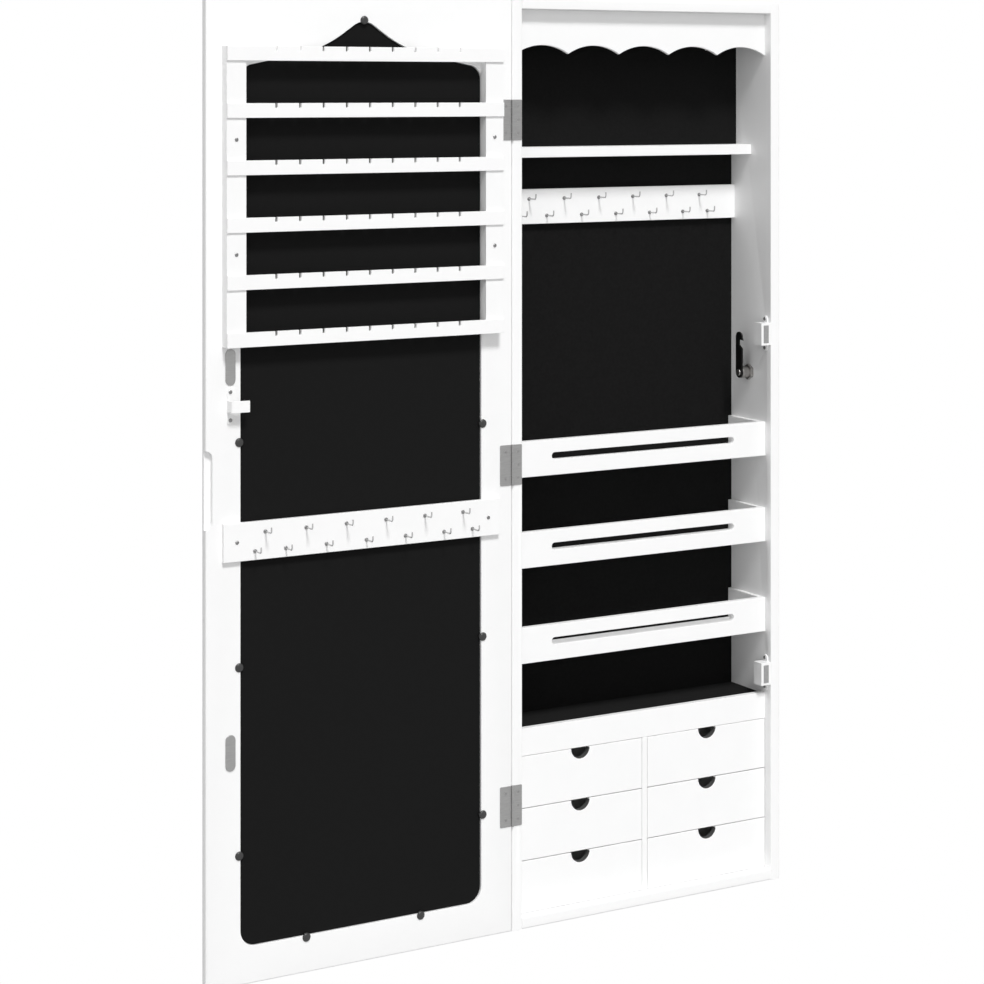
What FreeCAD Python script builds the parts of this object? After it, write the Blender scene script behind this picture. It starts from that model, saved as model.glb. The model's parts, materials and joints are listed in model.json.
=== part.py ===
import FreeCAD, Part
import math
import os
import Sketcher
from FreeCAD import Vector

# Wall-hung jewelry cabinet with a mirrored door that is open by 180 degrees.
# Frame: origin on the wall, midway across the cabinet, at its bottom edge.
# +X to the right, +Y towards the wall, +Z up.  Millimetres.

os.makedirs("parts", exist_ok=True)
doc = FreeCAD.newDocument("JewelryCabinet")

SIZES = [
    # carcass
    ("cab_width", 375), ("cab_height", 1060), ("side_depth", 87), ("board", 13),
    ("outer_round", 2), ("inner_round", 1), ("back_thick", 3), ("back_rebate", 6),
    ("lining_thick", 2), ("batten_height", 70), ("batten_thick", 10),
    ("wall_hole_dia", 6), ("wall_hole_drop", 41), ("wall_hole_spacing", 260),
    # valance, top shelf and hook boards
    ("valance_drop", 50.5), ("valance_thick", 5), ("valance_setback", 12.7),
    ("scallop_rise", 9.8), ("scallop_count", 5),
    ("top_shelf_base", 876.3), ("top_shelf_thick", 12), ("top_shelf_setback", 40.5),
    ("hook_board_height", 41), ("hook_board_thick", 7), ("hook_board_base", 797.2),
    ("hook_wire_dia", 2), ("hook_reach", 17), ("hook_rise", 6.5), ("hook_bend", 3),
    ("hook_collar_dia", 4.4), ("hook_collar_thick", 1.2), ("hook_pitch", 48.4),
    ("hook_end_offset", 133), ("lower_hook_lift", 9.6), ("upper_hook_lift", 29.6),
    # jewelry shelves
    ("lower_shelf_base", 298.5), ("middle_shelf_base", 407.5), ("upper_shelf_base", 511.5),
    ("shelf_rail_height", 41), ("shelf_rail_thick", 8), ("shelf_setback", 11.4),
    ("shelf_floor_thick", 5), ("shelf_side_thick", 5), ("rail_slot_length", 256),
    ("rail_slot_height", 8), ("rail_slot_lift", 18),
    # tray and drawers
    ("tray_rail_base", 193), ("tray_rail_height", 31.5), ("tray_floor_top", 222.4),
    ("tray_board_thick", 12), ("drawer_setback", 12), ("drawer_front_thick", 8),
    ("divider_thick", 7), ("deck_thick", 3), ("drawer_gap", 1), ("drawer_clearance", 1),
    ("drawer_lift", 0.4), ("box_wall", 4), ("box_floor", 3), ("box_height", 52),
    ("box_back_gap", 2), ("finger_radius", 12.5), ("drawer_rows", 3),
    # door
    ("door_thick", 11), ("closed_gap", 2.4), ("hinge_gap", 0.4), ("frame_border", 40),
    ("panel_recess", 2.5), ("backing_thick", 3), ("mirror_thick", 3), ("panel_fit", 0.5),
    ("mirror_lip", 8), ("bottom_corner", 18), ("crown_top", 1029.4), ("crown_radius", 21),
    ("steep_slope", 0.7), ("steep_run", 15.5), ("throat_radius", 146), ("flank_slope", 0.2),
    ("shoulder_radius", 16), ("pull_base", 488), ("pull_height", 84), ("pull_width", 7.6),
    ("pull_depth", 6),
    ("clip_dia", 9.6), ("clip_height", 2.4), ("clip_offset", 1.7), ("clip_bottom_offset", 70),
    ("clip_low", 138.4), ("clip_mid", 339), ("clip_high", 579),
    # earring rack and hook board on the door
    ("rack_width", 338), ("rack_base", 681.4), ("rack_pitch", 60.9), ("rack_rail_height", 15.6),
    ("rack_rail_thick", 4), ("rack_rail_proud", 2), ("post_width", 22.6), ("post_thick", 12.6),
    ("rack_rail_count", 6), ("notch_count", 9), ("notch_pitch", 28), ("notch_width", 2.8),
    ("notch_depth", 5.4), ("door_board_base", 453), ("door_board_thick", 5),
    ("post_screw_low", 780), ("post_screw_high", 902), ("board_screw_inset", 15.3),
    # hinges
    ("hinge_height", 46), ("hinge_low", 142.5), ("hinge_mid", 529.3), ("hinge_high", 920.8),
    ("leaf_thick", 0.85), ("knuckle_radius", 1.5), ("pin_radius", 0.8), ("pin_fit", 0.05),
    ("knuckle_gap", 0.3), ("knuckle_count", 5), ("leaf_start", 1.9), ("cabinet_leaf_reach", 12.4),
    ("door_leaf_reach", 16.1), ("leaf_screw_spread", 15),
    # screws
    ("screw_head_dia", 4.2), ("screw_head_thick", 1.2), ("screw_shank_dia", 2.2),
    ("screw_bite", 5), ("screw_fit", 0.1), ("leaf_screw_dia", 3.4),
    # magnet catches and strike plates
    ("catch_low", 249.4), ("catch_high", 659.8), ("catch_width", 14), ("catch_depth", 16),
    ("catch_height", 27), ("ear_height", 43), ("ear_width", 10), ("ear_thick", 1.6),
    ("catch_screw_spread", 17.5), ("ear_setback", 5.5), ("magnet_height", 21),
    ("magnet_width", 7), ("magnet_depth", 9), ("magnet_proud", 0.6),
    ("strike_width", 11.4), ("strike_height", 38.5), ("strike_thick", 1.3),
    ("strike_inset", 28),
    # lock and its bracket
    ("lock_depth", 44), ("lock_height", 610), ("barrel_radius", 7), ("barrel_fit", 0.2),
    ("flange_radius", 9.5), ("flange_thick", 1.6), ("nut_across_corners", 19.4),
    ("nut_thick", 4), ("cam_clearance", 0.3), ("cam_thick", 1.8), ("cam_half_width", 6.5),
    ("cam_length", 49.5), ("cam_mouth_low", 29.5), ("cam_mouth_high", 40.5),
    ("cam_mouth_depth", 6), ("cam_tip_droop", 1), ("cam_gap", 0.3), ("plug_radius", 5), ("plug_fit", 0.08),
    ("tenon_radius", 2.6), ("cam_screw_radius", 4), ("cam_screw_head", 1.8),
    ("key_slot_width", 1.2), ("key_slot_length", 6.4), ("key_slot_depth", 4),
    ("bracket_centre", 618.5), ("bracket_inset", 24), ("bracket_sheet", 1.2),
    ("bracket_reach", 13), ("bracket_base_width", 7.4), ("bracket_base_height", 40),
    ("bracket_tab_length", 21.2), ("bracket_tab_height", 12.4), ("bracket_screw_spread", 15),
]

sheet = doc.addObject("Spreadsheet::Sheet", "Sizes")
for row, (alias, value) in enumerate(SIZES, start=1):
    sheet.set("A%d" % row, str(value))
    sheet.setAlias("A%d" % row, alias)
doc.recompute()


class Size:
    """A length that carries both its formula on the sheet and its present value."""

    def __init__(self, text, value):
        self.text = text
        self.value = value

    def combine(self, other, sign, value, swapped=False):
        text = other.text if isinstance(other, Size) else repr(other)
        pair = (text, self.text) if swapped else (self.text, text)
        return Size("(%s %s %s)" % (pair[0], sign, pair[1]), value)

    def __add__(self, other):
        return self.combine(other, "+", self.value + number(other))

    def __radd__(self, other):
        return self.combine(other, "+", number(other) + self.value, swapped=True)

    def __sub__(self, other):
        return self.combine(other, "-", self.value - number(other))

    def __rsub__(self, other):
        return self.combine(other, "-", number(other) - self.value, swapped=True)

    def __mul__(self, other):
        return self.combine(other, "*", self.value * number(other))

    def __rmul__(self, other):
        return self.combine(other, "*", number(other) * self.value, swapped=True)

    def __truediv__(self, other):
        return self.combine(other, "/", self.value / number(other))

    def __rtruediv__(self, other):
        return self.combine(other, "/", number(other) / self.value, swapped=True)

    def __neg__(self):
        return -1 * self


def number(size):
    return size.value if isinstance(size, Size) else size


def root(size):
    return Size("sqrt(%s)" % size.text, math.sqrt(size.value))


def bind(thing, path, size):
    """Tie a property or a constraint to its formula."""
    text = size.text if isinstance(size, Size) else repr(size)
    thing.setExpression(path, text)


class Sheet:
    """Every size of the sheet as an attribute, such as S.board."""

    def __init__(self):
        for alias, _ in SIZES:
            setattr(self, alias, Size("Sizes." + alias, float(sheet.get(alias))))


S = Sheet()
NODES = []
NORMAL_SIGN = {"XY": 1, "XZ": -1, "YZ": 1}
WIRE_SIDES, SHANK_SIDES, HEAD_SIDES, KNUCKLE_SIDES, CAP_SIDES, SLOT_SIDES = 6, 6, 8, 8, 8, 8


# ---------------------------------------------------------------- drawing in sketches

def placed(geometry, point, x, y):
    """Constraints that fix one point of a curve to its place from the sketch's origin."""
    return [(Sketcher.Constraint(kind, -1, 1, geometry, point, number(size)), size)
            for kind, size in (("DistanceX", x), ("DistanceY", y))]


def rounded(geometry, radius):
    return [(Sketcher.Constraint("Radius", geometry, number(radius)), radius)]


def joined(geometry, point, other, other_point):
    return [(Sketcher.Constraint("Coincident", geometry, point, other, other_point), None)]


def constrain(sketch, rows):
    """Add the constraints together, and tie each that has a size to its formula."""
    indices = sketch.addConstraint([constraint for constraint, _ in rows])
    for index, (_, size) in zip(indices, rows):
        if size is not None:
            bind(sketch, "Constraints[%d]" % index, size)


def circle(sketch, x, y, radius):
    centre = Vector(number(x), number(y), 0)
    geometry = sketch.addGeometry(Part.Circle(centre, Vector(0, 0, 1), number(radius)), False)
    constrain(sketch, placed(geometry, 3, x, y) + rounded(geometry, radius))


def arc_through(start, end, radius, turn):
    """The lesser arc from start to end; turn is +1 to the left and -1 to the right."""
    chord = end - start
    rise = math.sqrt(max(radius ** 2 - chord.Length ** 2 / 4, 0))
    left = Vector(-chord.y, chord.x, 0).normalize() * turn
    middle = (start + end) / 2 + left * (rise - radius)
    return Part.Arc(start, middle, end)


def outline(sketch, corners):
    """A closed outline.  A corner is (x, y), or (x, y, radius, turn) where an arc leads to it."""
    first = len(sketch.Geometry)
    places = [Vector(number(c[0]), number(c[1]), 0) for c in corners]
    rows, ends = [], []
    for i, here in enumerate(places):
        after = (i + 1) % len(places)
        arc = corners[after][2:]
        if arc:
            curve = arc_through(here, places[after], number(arc[0]), arc[1])
        else:
            curve = Part.LineSegment(here, places[after])
        geometry = sketch.addGeometry(curve, False)
        forward = (sketch.getPoint(geometry, 1) - here).Length < 1e-6
        head, tail = (1, 2) if forward else (2, 1)
        rows += placed(geometry, head, corners[i][0], corners[i][1])
        if arc:
            rows += rounded(geometry, arc[0])
        ends.append((head, tail))
    for i in range(len(places)):
        after = (i + 1) % len(places)
        rows += joined(first + i, ends[i][1], first + after, ends[after][0])
    constrain(sketch, rows)


def rectangle(sketch, x, y, width, height):
    outline(sketch, [(x, y), (x + width, y), (x + width, y + height), (x, y + height)])


def polygon(sketch, x, y, radius, sides, inside=False, spread=(0, 0)):
    """A regular polygon round a circle of that radius, or inside it, with a flat to the right.

    Spread moves its halves apart, each way along X and Y.
    """
    reach = 1 if inside else 1 / math.cos(math.pi / sides)
    corners = []
    for k in range(sides):
        turn = (2 * k + 1) * math.pi / sides
        across, up = math.cos(turn), math.sin(turn)
        corners.append((x + math.copysign(1, across) * spread[0] + radius * round(reach * across, 6),
                        y + math.copysign(1, up) * spread[1] + radius * round(reach * up, 6)))
    outline(sketch, corners)


def obround(sketch, x, y, width, height):
    """A slot about its centre, whose ends are halves of a polygon."""
    radius = (height if number(width) > number(height) else width) / 2
    polygon(sketch, x, y, radius, SLOT_SIDES, spread=(width / 2 - radius, height / 2 - radius))


# ---------------------------------------------------------------- pieces

class Piece:
    """One named piece of the cabinet, built from sketches on its own origin planes."""

    def __init__(self, node):
        self.body = doc.addObject("PartDesign::Body", node)
        self.body.Label = node
        self.body.AllowCompound = True
        NODES.append(self.body)

    def origin(self, role):
        return next(f for f in self.body.Origin.OriginFeatures if f.Role == role)

    def sketch(self, plane, level, shift=0):
        """A sketch parallel to an origin plane, level along the axis that it faces."""
        sketch = self.body.newObject("Sketcher::SketchObject", self.body.Name + "_sketch")
        sketch.AttachmentSupport = [(self.origin(plane + "_Plane"), "")]
        sketch.MapMode = "FlatFace"
        bind(sketch, "AttachmentOffset.Base.z", NORMAL_SIGN[plane] * level)
        if shift:
            bind(sketch, "AttachmentOffset.Base.x", shift)
        return sketch

    def feature(self, kind, sketch):
        feature = self.body.newObject("PartDesign::" + kind, self.body.Name + "_" + kind.lower())
        feature.Profile = sketch
        sketch.Visibility = False
        return feature

    def pad(self, plane, level, thick, draw):
        """Material from level to level + thick along the plane's axis."""
        sketch = self.sketch(plane, level)
        draw(sketch)
        feature = self.feature("Pad", sketch)
        bind(feature, "Length", thick)
        feature.Reversed = NORMAL_SIGN[plane] < 0
        return feature

    def cut(self, plane, level, depth, draw):
        """Remove what is drawn from level to level + depth along the plane's axis."""
        doc.recompute()
        before = self.body.Shape.Volume
        sketch = self.sketch(plane, level)
        draw(sketch)
        feature = self.feature("Pocket", sketch)
        bind(feature, "Length", depth)
        feature.Reversed = NORMAL_SIGN[plane] > 0
        doc.recompute()
        if not self.body.Shape.Volume < before:
            raise ValueError("a cut in %s removed nothing" % self.body.Label)
        return feature

    def repeat(self, features, axis, extent, count):
        """Copies of features in a row; extent is from the first to the last."""
        doc.recompute()
        pattern = self.body.newObject("PartDesign::LinearPattern", self.body.Name + "_row")
        pattern.Originals = features
        pattern.Direction = (self.origin(axis + "_Axis"), [""])
        bind(pattern, "Length", extent)
        bind(pattern, "Occurrences", count)
        self.body.Tip = pattern
        return pattern

    def ease(self, kind, feature, size_name, size, wanted):
        """A Fillet or a Chamfer along the edges of feature that wanted picks."""
        doc.recompute()
        names = ["Edge%d" % (i + 1) for i, e in enumerate(feature.Shape.Edges) if wanted(e)]
        eased = self.body.newObject("PartDesign::" + kind, self.body.Name + "_" + kind.lower())
        eased.Base = (feature, names)
        bind(eased, size_name, size)
        return eased


def board_of(node, plane, level, thick, draw):
    piece = Piece(node)
    piece.pad(plane, level, thick, draw)
    return piece


def block(node, x, y, z, width, depth, height):
    """A plain rectangular board."""
    return board_of(node, "XY", z, height, lambda s: rectangle(s, x, y, width, depth))


def circles(places, radius):
    """A drawing of equal circles."""
    def draw(sketch):
        for x, y in places:
            circle(sketch, x, y, radius)
    return draw


def few_sided(places, radius, sides):
    """A drawing of equal polygons, for the small round parts that repeat."""
    def draw(sketch):
        for x, y in places:
            polygon(sketch, x, y, radius, sides)
    return draw


# ---------------------------------------------------------------- shared places

left = -S.cab_width / 2
right = S.cab_width / 2
inner_left = left + S.board
inner_right = right - S.board
inner_width = S.cab_width - 2 * S.board
front = -S.side_depth
top_under = S.cab_height - S.board
lining_front = -(S.back_thick + S.lining_thick)
facing_front = -(S.back_thick + S.batten_thick + S.lining_thick)
hinge_x = left - S.hinge_gap / 2
hinge_y = front - S.closed_gap / 2
door_hinge_edge = left - S.hinge_gap
door_mid = door_hinge_edge - S.cab_width / 2
door_free_edge = door_hinge_edge - S.cab_width
wall_holes = [(side * S.wall_hole_spacing / 2, top_under - S.wall_hole_drop) for side in (-1, 1)]
hinge_heights = [S.hinge_low, S.hinge_mid, S.hinge_high]
catch_heights = [S.catch_low, S.catch_high]
cabinet_leaf_mid = hinge_x + (S.leaf_start + S.cabinet_leaf_reach) / 2
door_leaf_mid = hinge_x - (S.leaf_start + S.door_leaf_reach) / 2
cabinet_leaf_screws = [(cabinet_leaf_mid, z + k * S.leaf_screw_spread)
                       for z in hinge_heights for k in (-1, 0, 1)]
door_leaf_screws = [(door_leaf_mid, z + k * S.leaf_screw_spread)
                    for z in hinge_heights for k in (-1, 1)]
shank_hole = S.screw_shank_dia / 2 + S.screw_fit
catch_mid_y = front + S.ear_setback + S.ear_width / 2
catch_screws = [(catch_mid_y, z + k * S.catch_screw_spread) for z in catch_heights for k in (-1, 1)]


# ---------------------------------------------------------------- carcass

def rebated_side(node, outer, direction):
    """A side board in plan: eased front corners and a rebate for the back panel."""
    def draw(sketch):
        def at(depth_in):
            return outer + direction * depth_in
        turn = direction
        outline(sketch, [
            (outer, front + S.outer_round), (at(S.outer_round), front, S.outer_round, turn),
            (at(S.board - S.inner_round), front),
            (at(S.board), front + S.inner_round, S.inner_round, turn),
            (at(S.board), -S.back_thick), (at(S.board - S.back_rebate), -S.back_thick),
            (at(S.board - S.back_rebate), Size("0", 0)), (outer, Size("0", 0))])
    return board_of(node, "XY", Size("0", 0), S.cab_height, draw)


def rebated_level(node, outer, direction):
    """The top or bottom board in section, between the sides."""
    def draw(sketch):
        def at(depth_in):
            return outer + direction * depth_in
        turn = -direction
        outline(sketch, [
            (front + S.outer_round, outer), (front, at(S.outer_round), S.outer_round, turn),
            (front, at(S.board - S.inner_round)),
            (front + S.inner_round, at(S.board), S.inner_round, turn),
            (-S.back_thick, at(S.board)), (-S.back_thick, at(S.board - S.back_rebate)),
            (Size("0", 0), at(S.board - S.back_rebate)), (Size("0", 0), outer)])
    return board_of(node, "YZ", inner_left, inner_width, draw)


def carcass():
    side = rebated_side("left_side", left, 1)
    side.cut("XZ", front, S.screw_bite, few_sided(cabinet_leaf_screws, shank_hole, SHANK_SIDES))
    side = rebated_side("right_side", right, -1)
    side.cut("YZ", inner_right, S.board,
             circles([(front + S.lock_depth, S.lock_height)], S.barrel_radius + S.barrel_fit))
    side.cut("YZ", inner_right, S.screw_bite, few_sided(catch_screws, shank_hole, SHANK_SIDES))
    rebated_level("top_board", S.cab_height, -1)
    rebated_level("bottom_board", Size("0", 0), 1)


def with_wall_holes(node, y, thick, x, z, width, height):
    def draw(sketch):
        rectangle(sketch, x, z, width, height)
        circles(wall_holes, S.wall_hole_dia / 2)(sketch)
    return board_of(node, "XZ", y, thick, draw)


def back():
    margin = S.board - S.back_rebate
    with_wall_holes("back_panel", -S.back_thick, S.back_thick, left + margin, margin,
                    S.cab_width - 2 * margin, S.cab_height - 2 * margin)
    with_wall_holes("hanging_batten", facing_front + S.lining_thick, S.batten_thick, inner_left,
                    top_under - S.batten_height, inner_width, S.batten_height)
    shelf_top = S.top_shelf_base + S.top_shelf_thick
    with_wall_holes("top_facing", facing_front, S.lining_thick, inner_left, shelf_top,
                    inner_width, top_under - shelf_top)
    block("back_lining", inner_left, lining_front, S.board, inner_width, S.lining_thick,
          S.top_shelf_base - S.board)


def valance():
    """A board whose lower edge is cut in equal scallops, with the points between them."""
    count = int(number(S.scallop_count))
    span = inner_width / S.scallop_count
    low = top_under - S.valance_drop
    radius = (span * span / 4 + S.scallop_rise * S.scallop_rise) / (2 * S.scallop_rise)
    corners = [(inner_left, low)]
    for i in range(1, count + 1):
        corners.append((inner_left + i * span, low, radius, -1))
    corners += [(inner_right, top_under), (inner_left, top_under)]
    board_of("valance", "XZ", front + S.valance_setback, S.valance_thick,
             lambda s: outline(s, corners))


def top_shelf():
    block("top_shelf", inner_left, front + S.top_shelf_setback, S.top_shelf_base, inner_width,
          S.side_depth - S.top_shelf_setback - S.back_thick, S.top_shelf_thick)


# ---------------------------------------------------------------- hooks

def hook_path(sketch, root_y, z):
    """Straight out of the board, up, and between them a slant that touches the bend's arc."""
    out = root_y - S.hook_reach + S.hook_wire_dia / 2
    slant = S.hook_bend * (2 - math.sqrt(2))
    ends = [(root_y, z), (out + slant, z), (out, z + slant), (out, z + S.hook_rise)]
    places = [Vector(number(a), number(b), 0) for a, b in ends]
    last = len(places) - 2
    rows = placed(last, 2, ends[-1][0], ends[-1][1])
    for i in range(last + 1):
        sketch.addGeometry(Part.LineSegment(places[i], places[i + 1]), False)
        rows += placed(i, 1, ends[i][0], ends[i][1])
        if i:
            rows += joined(i - 1, 2, i, 1)
    constrain(sketch, rows)


def hook_row(piece, first_x, face_y, z, extent, count):
    """One wire hook with its collar, repeated along the board."""
    collar = piece.pad("XZ", face_y - S.hook_collar_thick, S.hook_collar_thick,
                       lambda s: polygon(s, first_x, z, S.hook_collar_dia / 2, WIRE_SIDES,
                                         inside=True))
    profile = piece.sketch("XZ", face_y)
    polygon(profile, first_x, z, S.hook_wire_dia / 2, WIRE_SIDES, inside=True)
    path = piece.sketch("YZ", first_x)
    hook_path(path, face_y, z)
    wire = piece.feature("AdditivePipe", profile)
    wire.Spine = (path, [])
    wire.Transition = "Right corner"
    piece.repeat([collar, wire], "X", extent, count)


def hooks(node, mid_x, face_y, base):
    """Six hooks above and seven below, the outer two of these closer to their neighbours."""
    piece = Piece(node)
    upper, lower = base + S.upper_hook_lift, base + S.lower_hook_lift
    hook_row(piece, mid_x - 2.5 * S.hook_pitch, face_y, upper, 5 * S.hook_pitch, 6)
    hook_row(piece, mid_x - 2 * S.hook_pitch, face_y, lower, 4 * S.hook_pitch, 5)
    hook_row(piece, mid_x - S.hook_end_offset, face_y, lower, 2 * S.hook_end_offset, 2)


def cabinet_hook_board():
    face = lining_front - S.hook_board_thick
    block("cabinet_hook_board", inner_left, face, S.hook_board_base, inner_width,
          S.hook_board_thick, S.hook_board_height)
    hooks("cabinet_hooks", Size("0", 0), face, S.hook_board_base)


# ---------------------------------------------------------------- shelves, tray and drawers

def jewelry_shelf(name, base):
    """A slotted rail across the front of each shelf."""
    def rail(sketch):
        rectangle(sketch, inner_left, base, inner_width, S.shelf_rail_height)
        obround(sketch, Size("0", 0), base + S.rail_slot_lift + S.rail_slot_height / 2,
                S.rail_slot_length, S.rail_slot_height)
    board_of(name + "_shelf_rail", "XZ", front + S.shelf_setback, S.shelf_rail_thick, rail)


def shelf_floors_and_sides(bases):
    rail_back = front + S.shelf_setback + S.shelf_rail_thick
    depth = lining_front - rail_back
    floors = Piece("shelf_floors")
    sides = Piece("shelf_sides")
    for base in bases:
        floors.pad("XY", base, S.shelf_floor_thick,
                   lambda s: rectangle(s, inner_left, rail_back, inner_width, depth))
        for x in (inner_left, inner_right - S.shelf_side_thick):
            sides.pad("XY", base + S.shelf_floor_thick, S.shelf_rail_height - S.shelf_floor_thick,
                      lambda s: rectangle(s, x, rail_back, S.shelf_side_thick, depth))


tray_board_base = S.tray_floor_top - S.lining_thick - S.tray_board_thick
column_width = (inner_width - S.divider_thick) / 2
drawer_face = front + S.drawer_setback
drawer_back = drawer_face + S.drawer_front_thick
row_height = (S.tray_rail_base - S.board) / S.drawer_rows


def tray():
    block("tray_rail", inner_left, drawer_face, S.tray_rail_base, inner_width,
          S.drawer_front_thick, S.tray_rail_height)
    depth = lining_front - drawer_back
    block("tray_board", inner_left, drawer_back, tray_board_base, inner_width, depth,
          S.tray_board_thick)
    block("tray_lining", inner_left, drawer_back, S.tray_floor_top - S.lining_thick, inner_width,
          depth, S.lining_thick)


def drawer_housing():
    """The divider, notched round the tray rail, and a deck under each upper drawer."""
    half = S.divider_thick / 2
    board_of("drawer_divider", "YZ", -half, S.divider_thick, lambda s: outline(s, [
        (drawer_face, S.board), (lining_front, S.board), (lining_front, tray_board_base),
        (drawer_back, tray_board_base), (drawer_back, S.tray_rail_base),
        (drawer_face, S.tray_rail_base)]))
    decks = Piece("drawer_decks")
    start = drawer_back + S.drawer_gap
    for row in range(1, int(number(S.drawer_rows))):
        for x in (inner_left, half):
            decks.pad("XY", S.board + row * row_height - S.deck_thick, S.deck_thick,
                      lambda s: rectangle(s, x, start, column_width, lining_front - start))


def drawer(number_, x, base):
    """A front with a half-round finger cut-out, and an open box behind it."""
    gap = S.drawer_gap / 2
    low, high = base + gap, base + row_height - gap
    near, far = x + gap, x + column_width - gap
    mid = x + column_width / 2
    r = S.finger_radius
    board_of("drawer_%d_front" % number_, "XZ", drawer_face, S.drawer_front_thick,
             lambda s: outline(s, [(near, low), (far, low), (far, high), (mid + r, high),
                                   (mid, high - r, r, -1), (mid - r, high, r, -1), (near, high)]))
    side, floor = x + S.drawer_clearance, base + S.drawer_lift
    width = column_width - 2 * S.drawer_clearance
    depth = lining_front - S.box_back_gap - drawer_back
    box = Piece("drawer_%d_box" % number_)
    box.pad("XY", floor, S.box_height, lambda s: rectangle(s, side, drawer_back, width, depth))
    box.cut("XY", floor + S.box_floor, S.box_height - S.box_floor, lambda s: rectangle(
        s, side + S.box_wall, drawer_back, width - 2 * S.box_wall, depth - S.box_wall))


def drawers():
    rows = int(number(S.drawer_rows))
    count = 0
    for row in range(rows - 1, -1, -1):
        for x in (inner_left, S.divider_thick / 2):
            count += 1
            drawer(count, x, S.board + row * row_height)


# ---------------------------------------------------------------- hinges

knuckle_height = (S.hinge_height - (S.knuckle_count - 1) * S.knuckle_gap) / S.knuckle_count


def knuckle_bottoms(centre, parity):
    """The low ends of every second knuckle, counted from the bottom."""
    step = knuckle_height + S.knuckle_gap
    count = int(number(S.knuckle_count))
    return [centre - S.hinge_height / 2 + k * step for k in range(parity, count, 2)]


def hinge_leaves(node, direction, reach, parity, level, screws):
    """Flat leaves joined by short tabs to their rolled knuckles round the pin."""
    leaves = Piece(node)
    bore = S.pin_radius + S.pin_fit

    def strip(sketch, z, begin, end, height):
        x = hinge_x + direction * begin if direction > 0 else hinge_x - end
        rectangle(sketch, x, z, end - begin, height)

    def plates(sketch):
        for z in hinge_heights:
            strip(sketch, z - S.hinge_height / 2, S.leaf_start, reach, S.hinge_height)
        few_sided(screws, S.leaf_screw_dia / 2 + S.screw_fit, HEAD_SIDES)(sketch)

    def tabs(sketch):
        for centre in hinge_heights:
            for z in knuckle_bottoms(centre, parity):
                strip(sketch, z, bore + S.screw_fit, S.leaf_start, knuckle_height)

    leaves.pad("XZ", level, S.leaf_thick, plates)
    leaves.pad("XZ", level, S.leaf_thick, tabs)
    for centre in hinge_heights:
        for z in knuckle_bottoms(centre, parity):
            leaves.pad("XY", z, knuckle_height, lambda s: (
                polygon(s, hinge_x, hinge_y, S.knuckle_radius, KNUCKLE_SIDES, inside=True),
                polygon(s, hinge_x, hinge_y, bore, KNUCKLE_SIDES)))


def screws_at(node, groups):
    """Screws of one kind: a flat head and a plain shank at each place, both few-sided."""
    piece = Piece(node)
    for plane, head_level, head_thick, shank_level, shank_length, head_dia, places in groups:
        piece.pad(plane, head_level, head_thick, few_sided(places, head_dia / 2, HEAD_SIDES))
        piece.pad(plane, shank_level, shank_length,
                  few_sided(places, S.screw_shank_dia / 2, SHANK_SIDES))


def hinges():
    leaf_front = front - S.leaf_thick
    hinge_leaves("hinge_cabinet_leaves", 1, S.cabinet_leaf_reach, 0, leaf_front,
                 cabinet_leaf_screws)
    hinge_leaves("hinge_door_leaves", -1, S.door_leaf_reach, 1, leaf_front, door_leaf_screws)
    pins = Piece("hinge_pins")
    for z in hinge_heights:
        pins.pad("XY", z - S.hinge_height / 2, S.hinge_height, lambda s: polygon(
            s, hinge_x, hinge_y, S.pin_radius, KNUCKLE_SIDES, inside=True))
    bite = S.screw_bite - S.screw_fit
    for node, places in (("cabinet_leaf_screws", cabinet_leaf_screws),
                         ("door_leaf_screws", door_leaf_screws)):
        screws_at(node, [("XZ", leaf_front, S.leaf_thick, front, bite, S.leaf_screw_dia, places)])


# ---------------------------------------------------------------- door

def arched_outline(sketch, inset):
    """The ogee arch: shoulder, long flank, throat, steep run and crown on each side.

    Each curve keeps its centre when the outline is drawn inset, so both are parallel.
    """
    flank_length = root(1 + S.flank_slope * S.flank_slope)
    steep_length = root(1 + S.steep_slope * S.steep_slope)
    flank_sin, flank_cos = S.flank_slope / flank_length, 1 / flank_length
    steep_sin, steep_cos = S.steep_slope / steep_length, 1 / steep_length
    half = S.cab_width / 2 - S.frame_border - inset
    crown = S.crown_radius - inset
    throat = S.throat_radius + inset
    shoulder = S.shoulder_radius - inset
    corner = S.bottom_corner - inset
    low = S.frame_border + inset
    crown_centre = S.crown_top - S.crown_radius
    x1, z1 = crown * steep_sin, crown_centre + crown * steep_cos
    x2, z2 = x1 + S.steep_run * steep_cos, z1 - S.steep_run * steep_sin
    x3, z3 = x2 + throat * (steep_sin - flank_sin), z2 - throat * (flank_cos - steep_cos)
    x4 = half - shoulder + shoulder * flank_sin
    z4 = z3 - (x4 - x3) * S.flank_slope
    z5 = z4 - shoulder * flank_cos
    m = door_mid
    outline(sketch, [
        (m - half + corner, low, corner, 1), (m + half - corner, low),
        (m + half, low + corner, corner, 1), (m + half, z5), (m + x4, z4, shoulder, 1),
        (m + x3, z3), (m + x2, z2, throat, -1), (m + x1, z1), (m - x1, z1, crown, 1),
        (m - x2, z2), (m - x3, z3, throat, -1), (m - x4, z4), (m - half, z5, shoulder, 1),
        (m - half, low + corner)])


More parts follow.
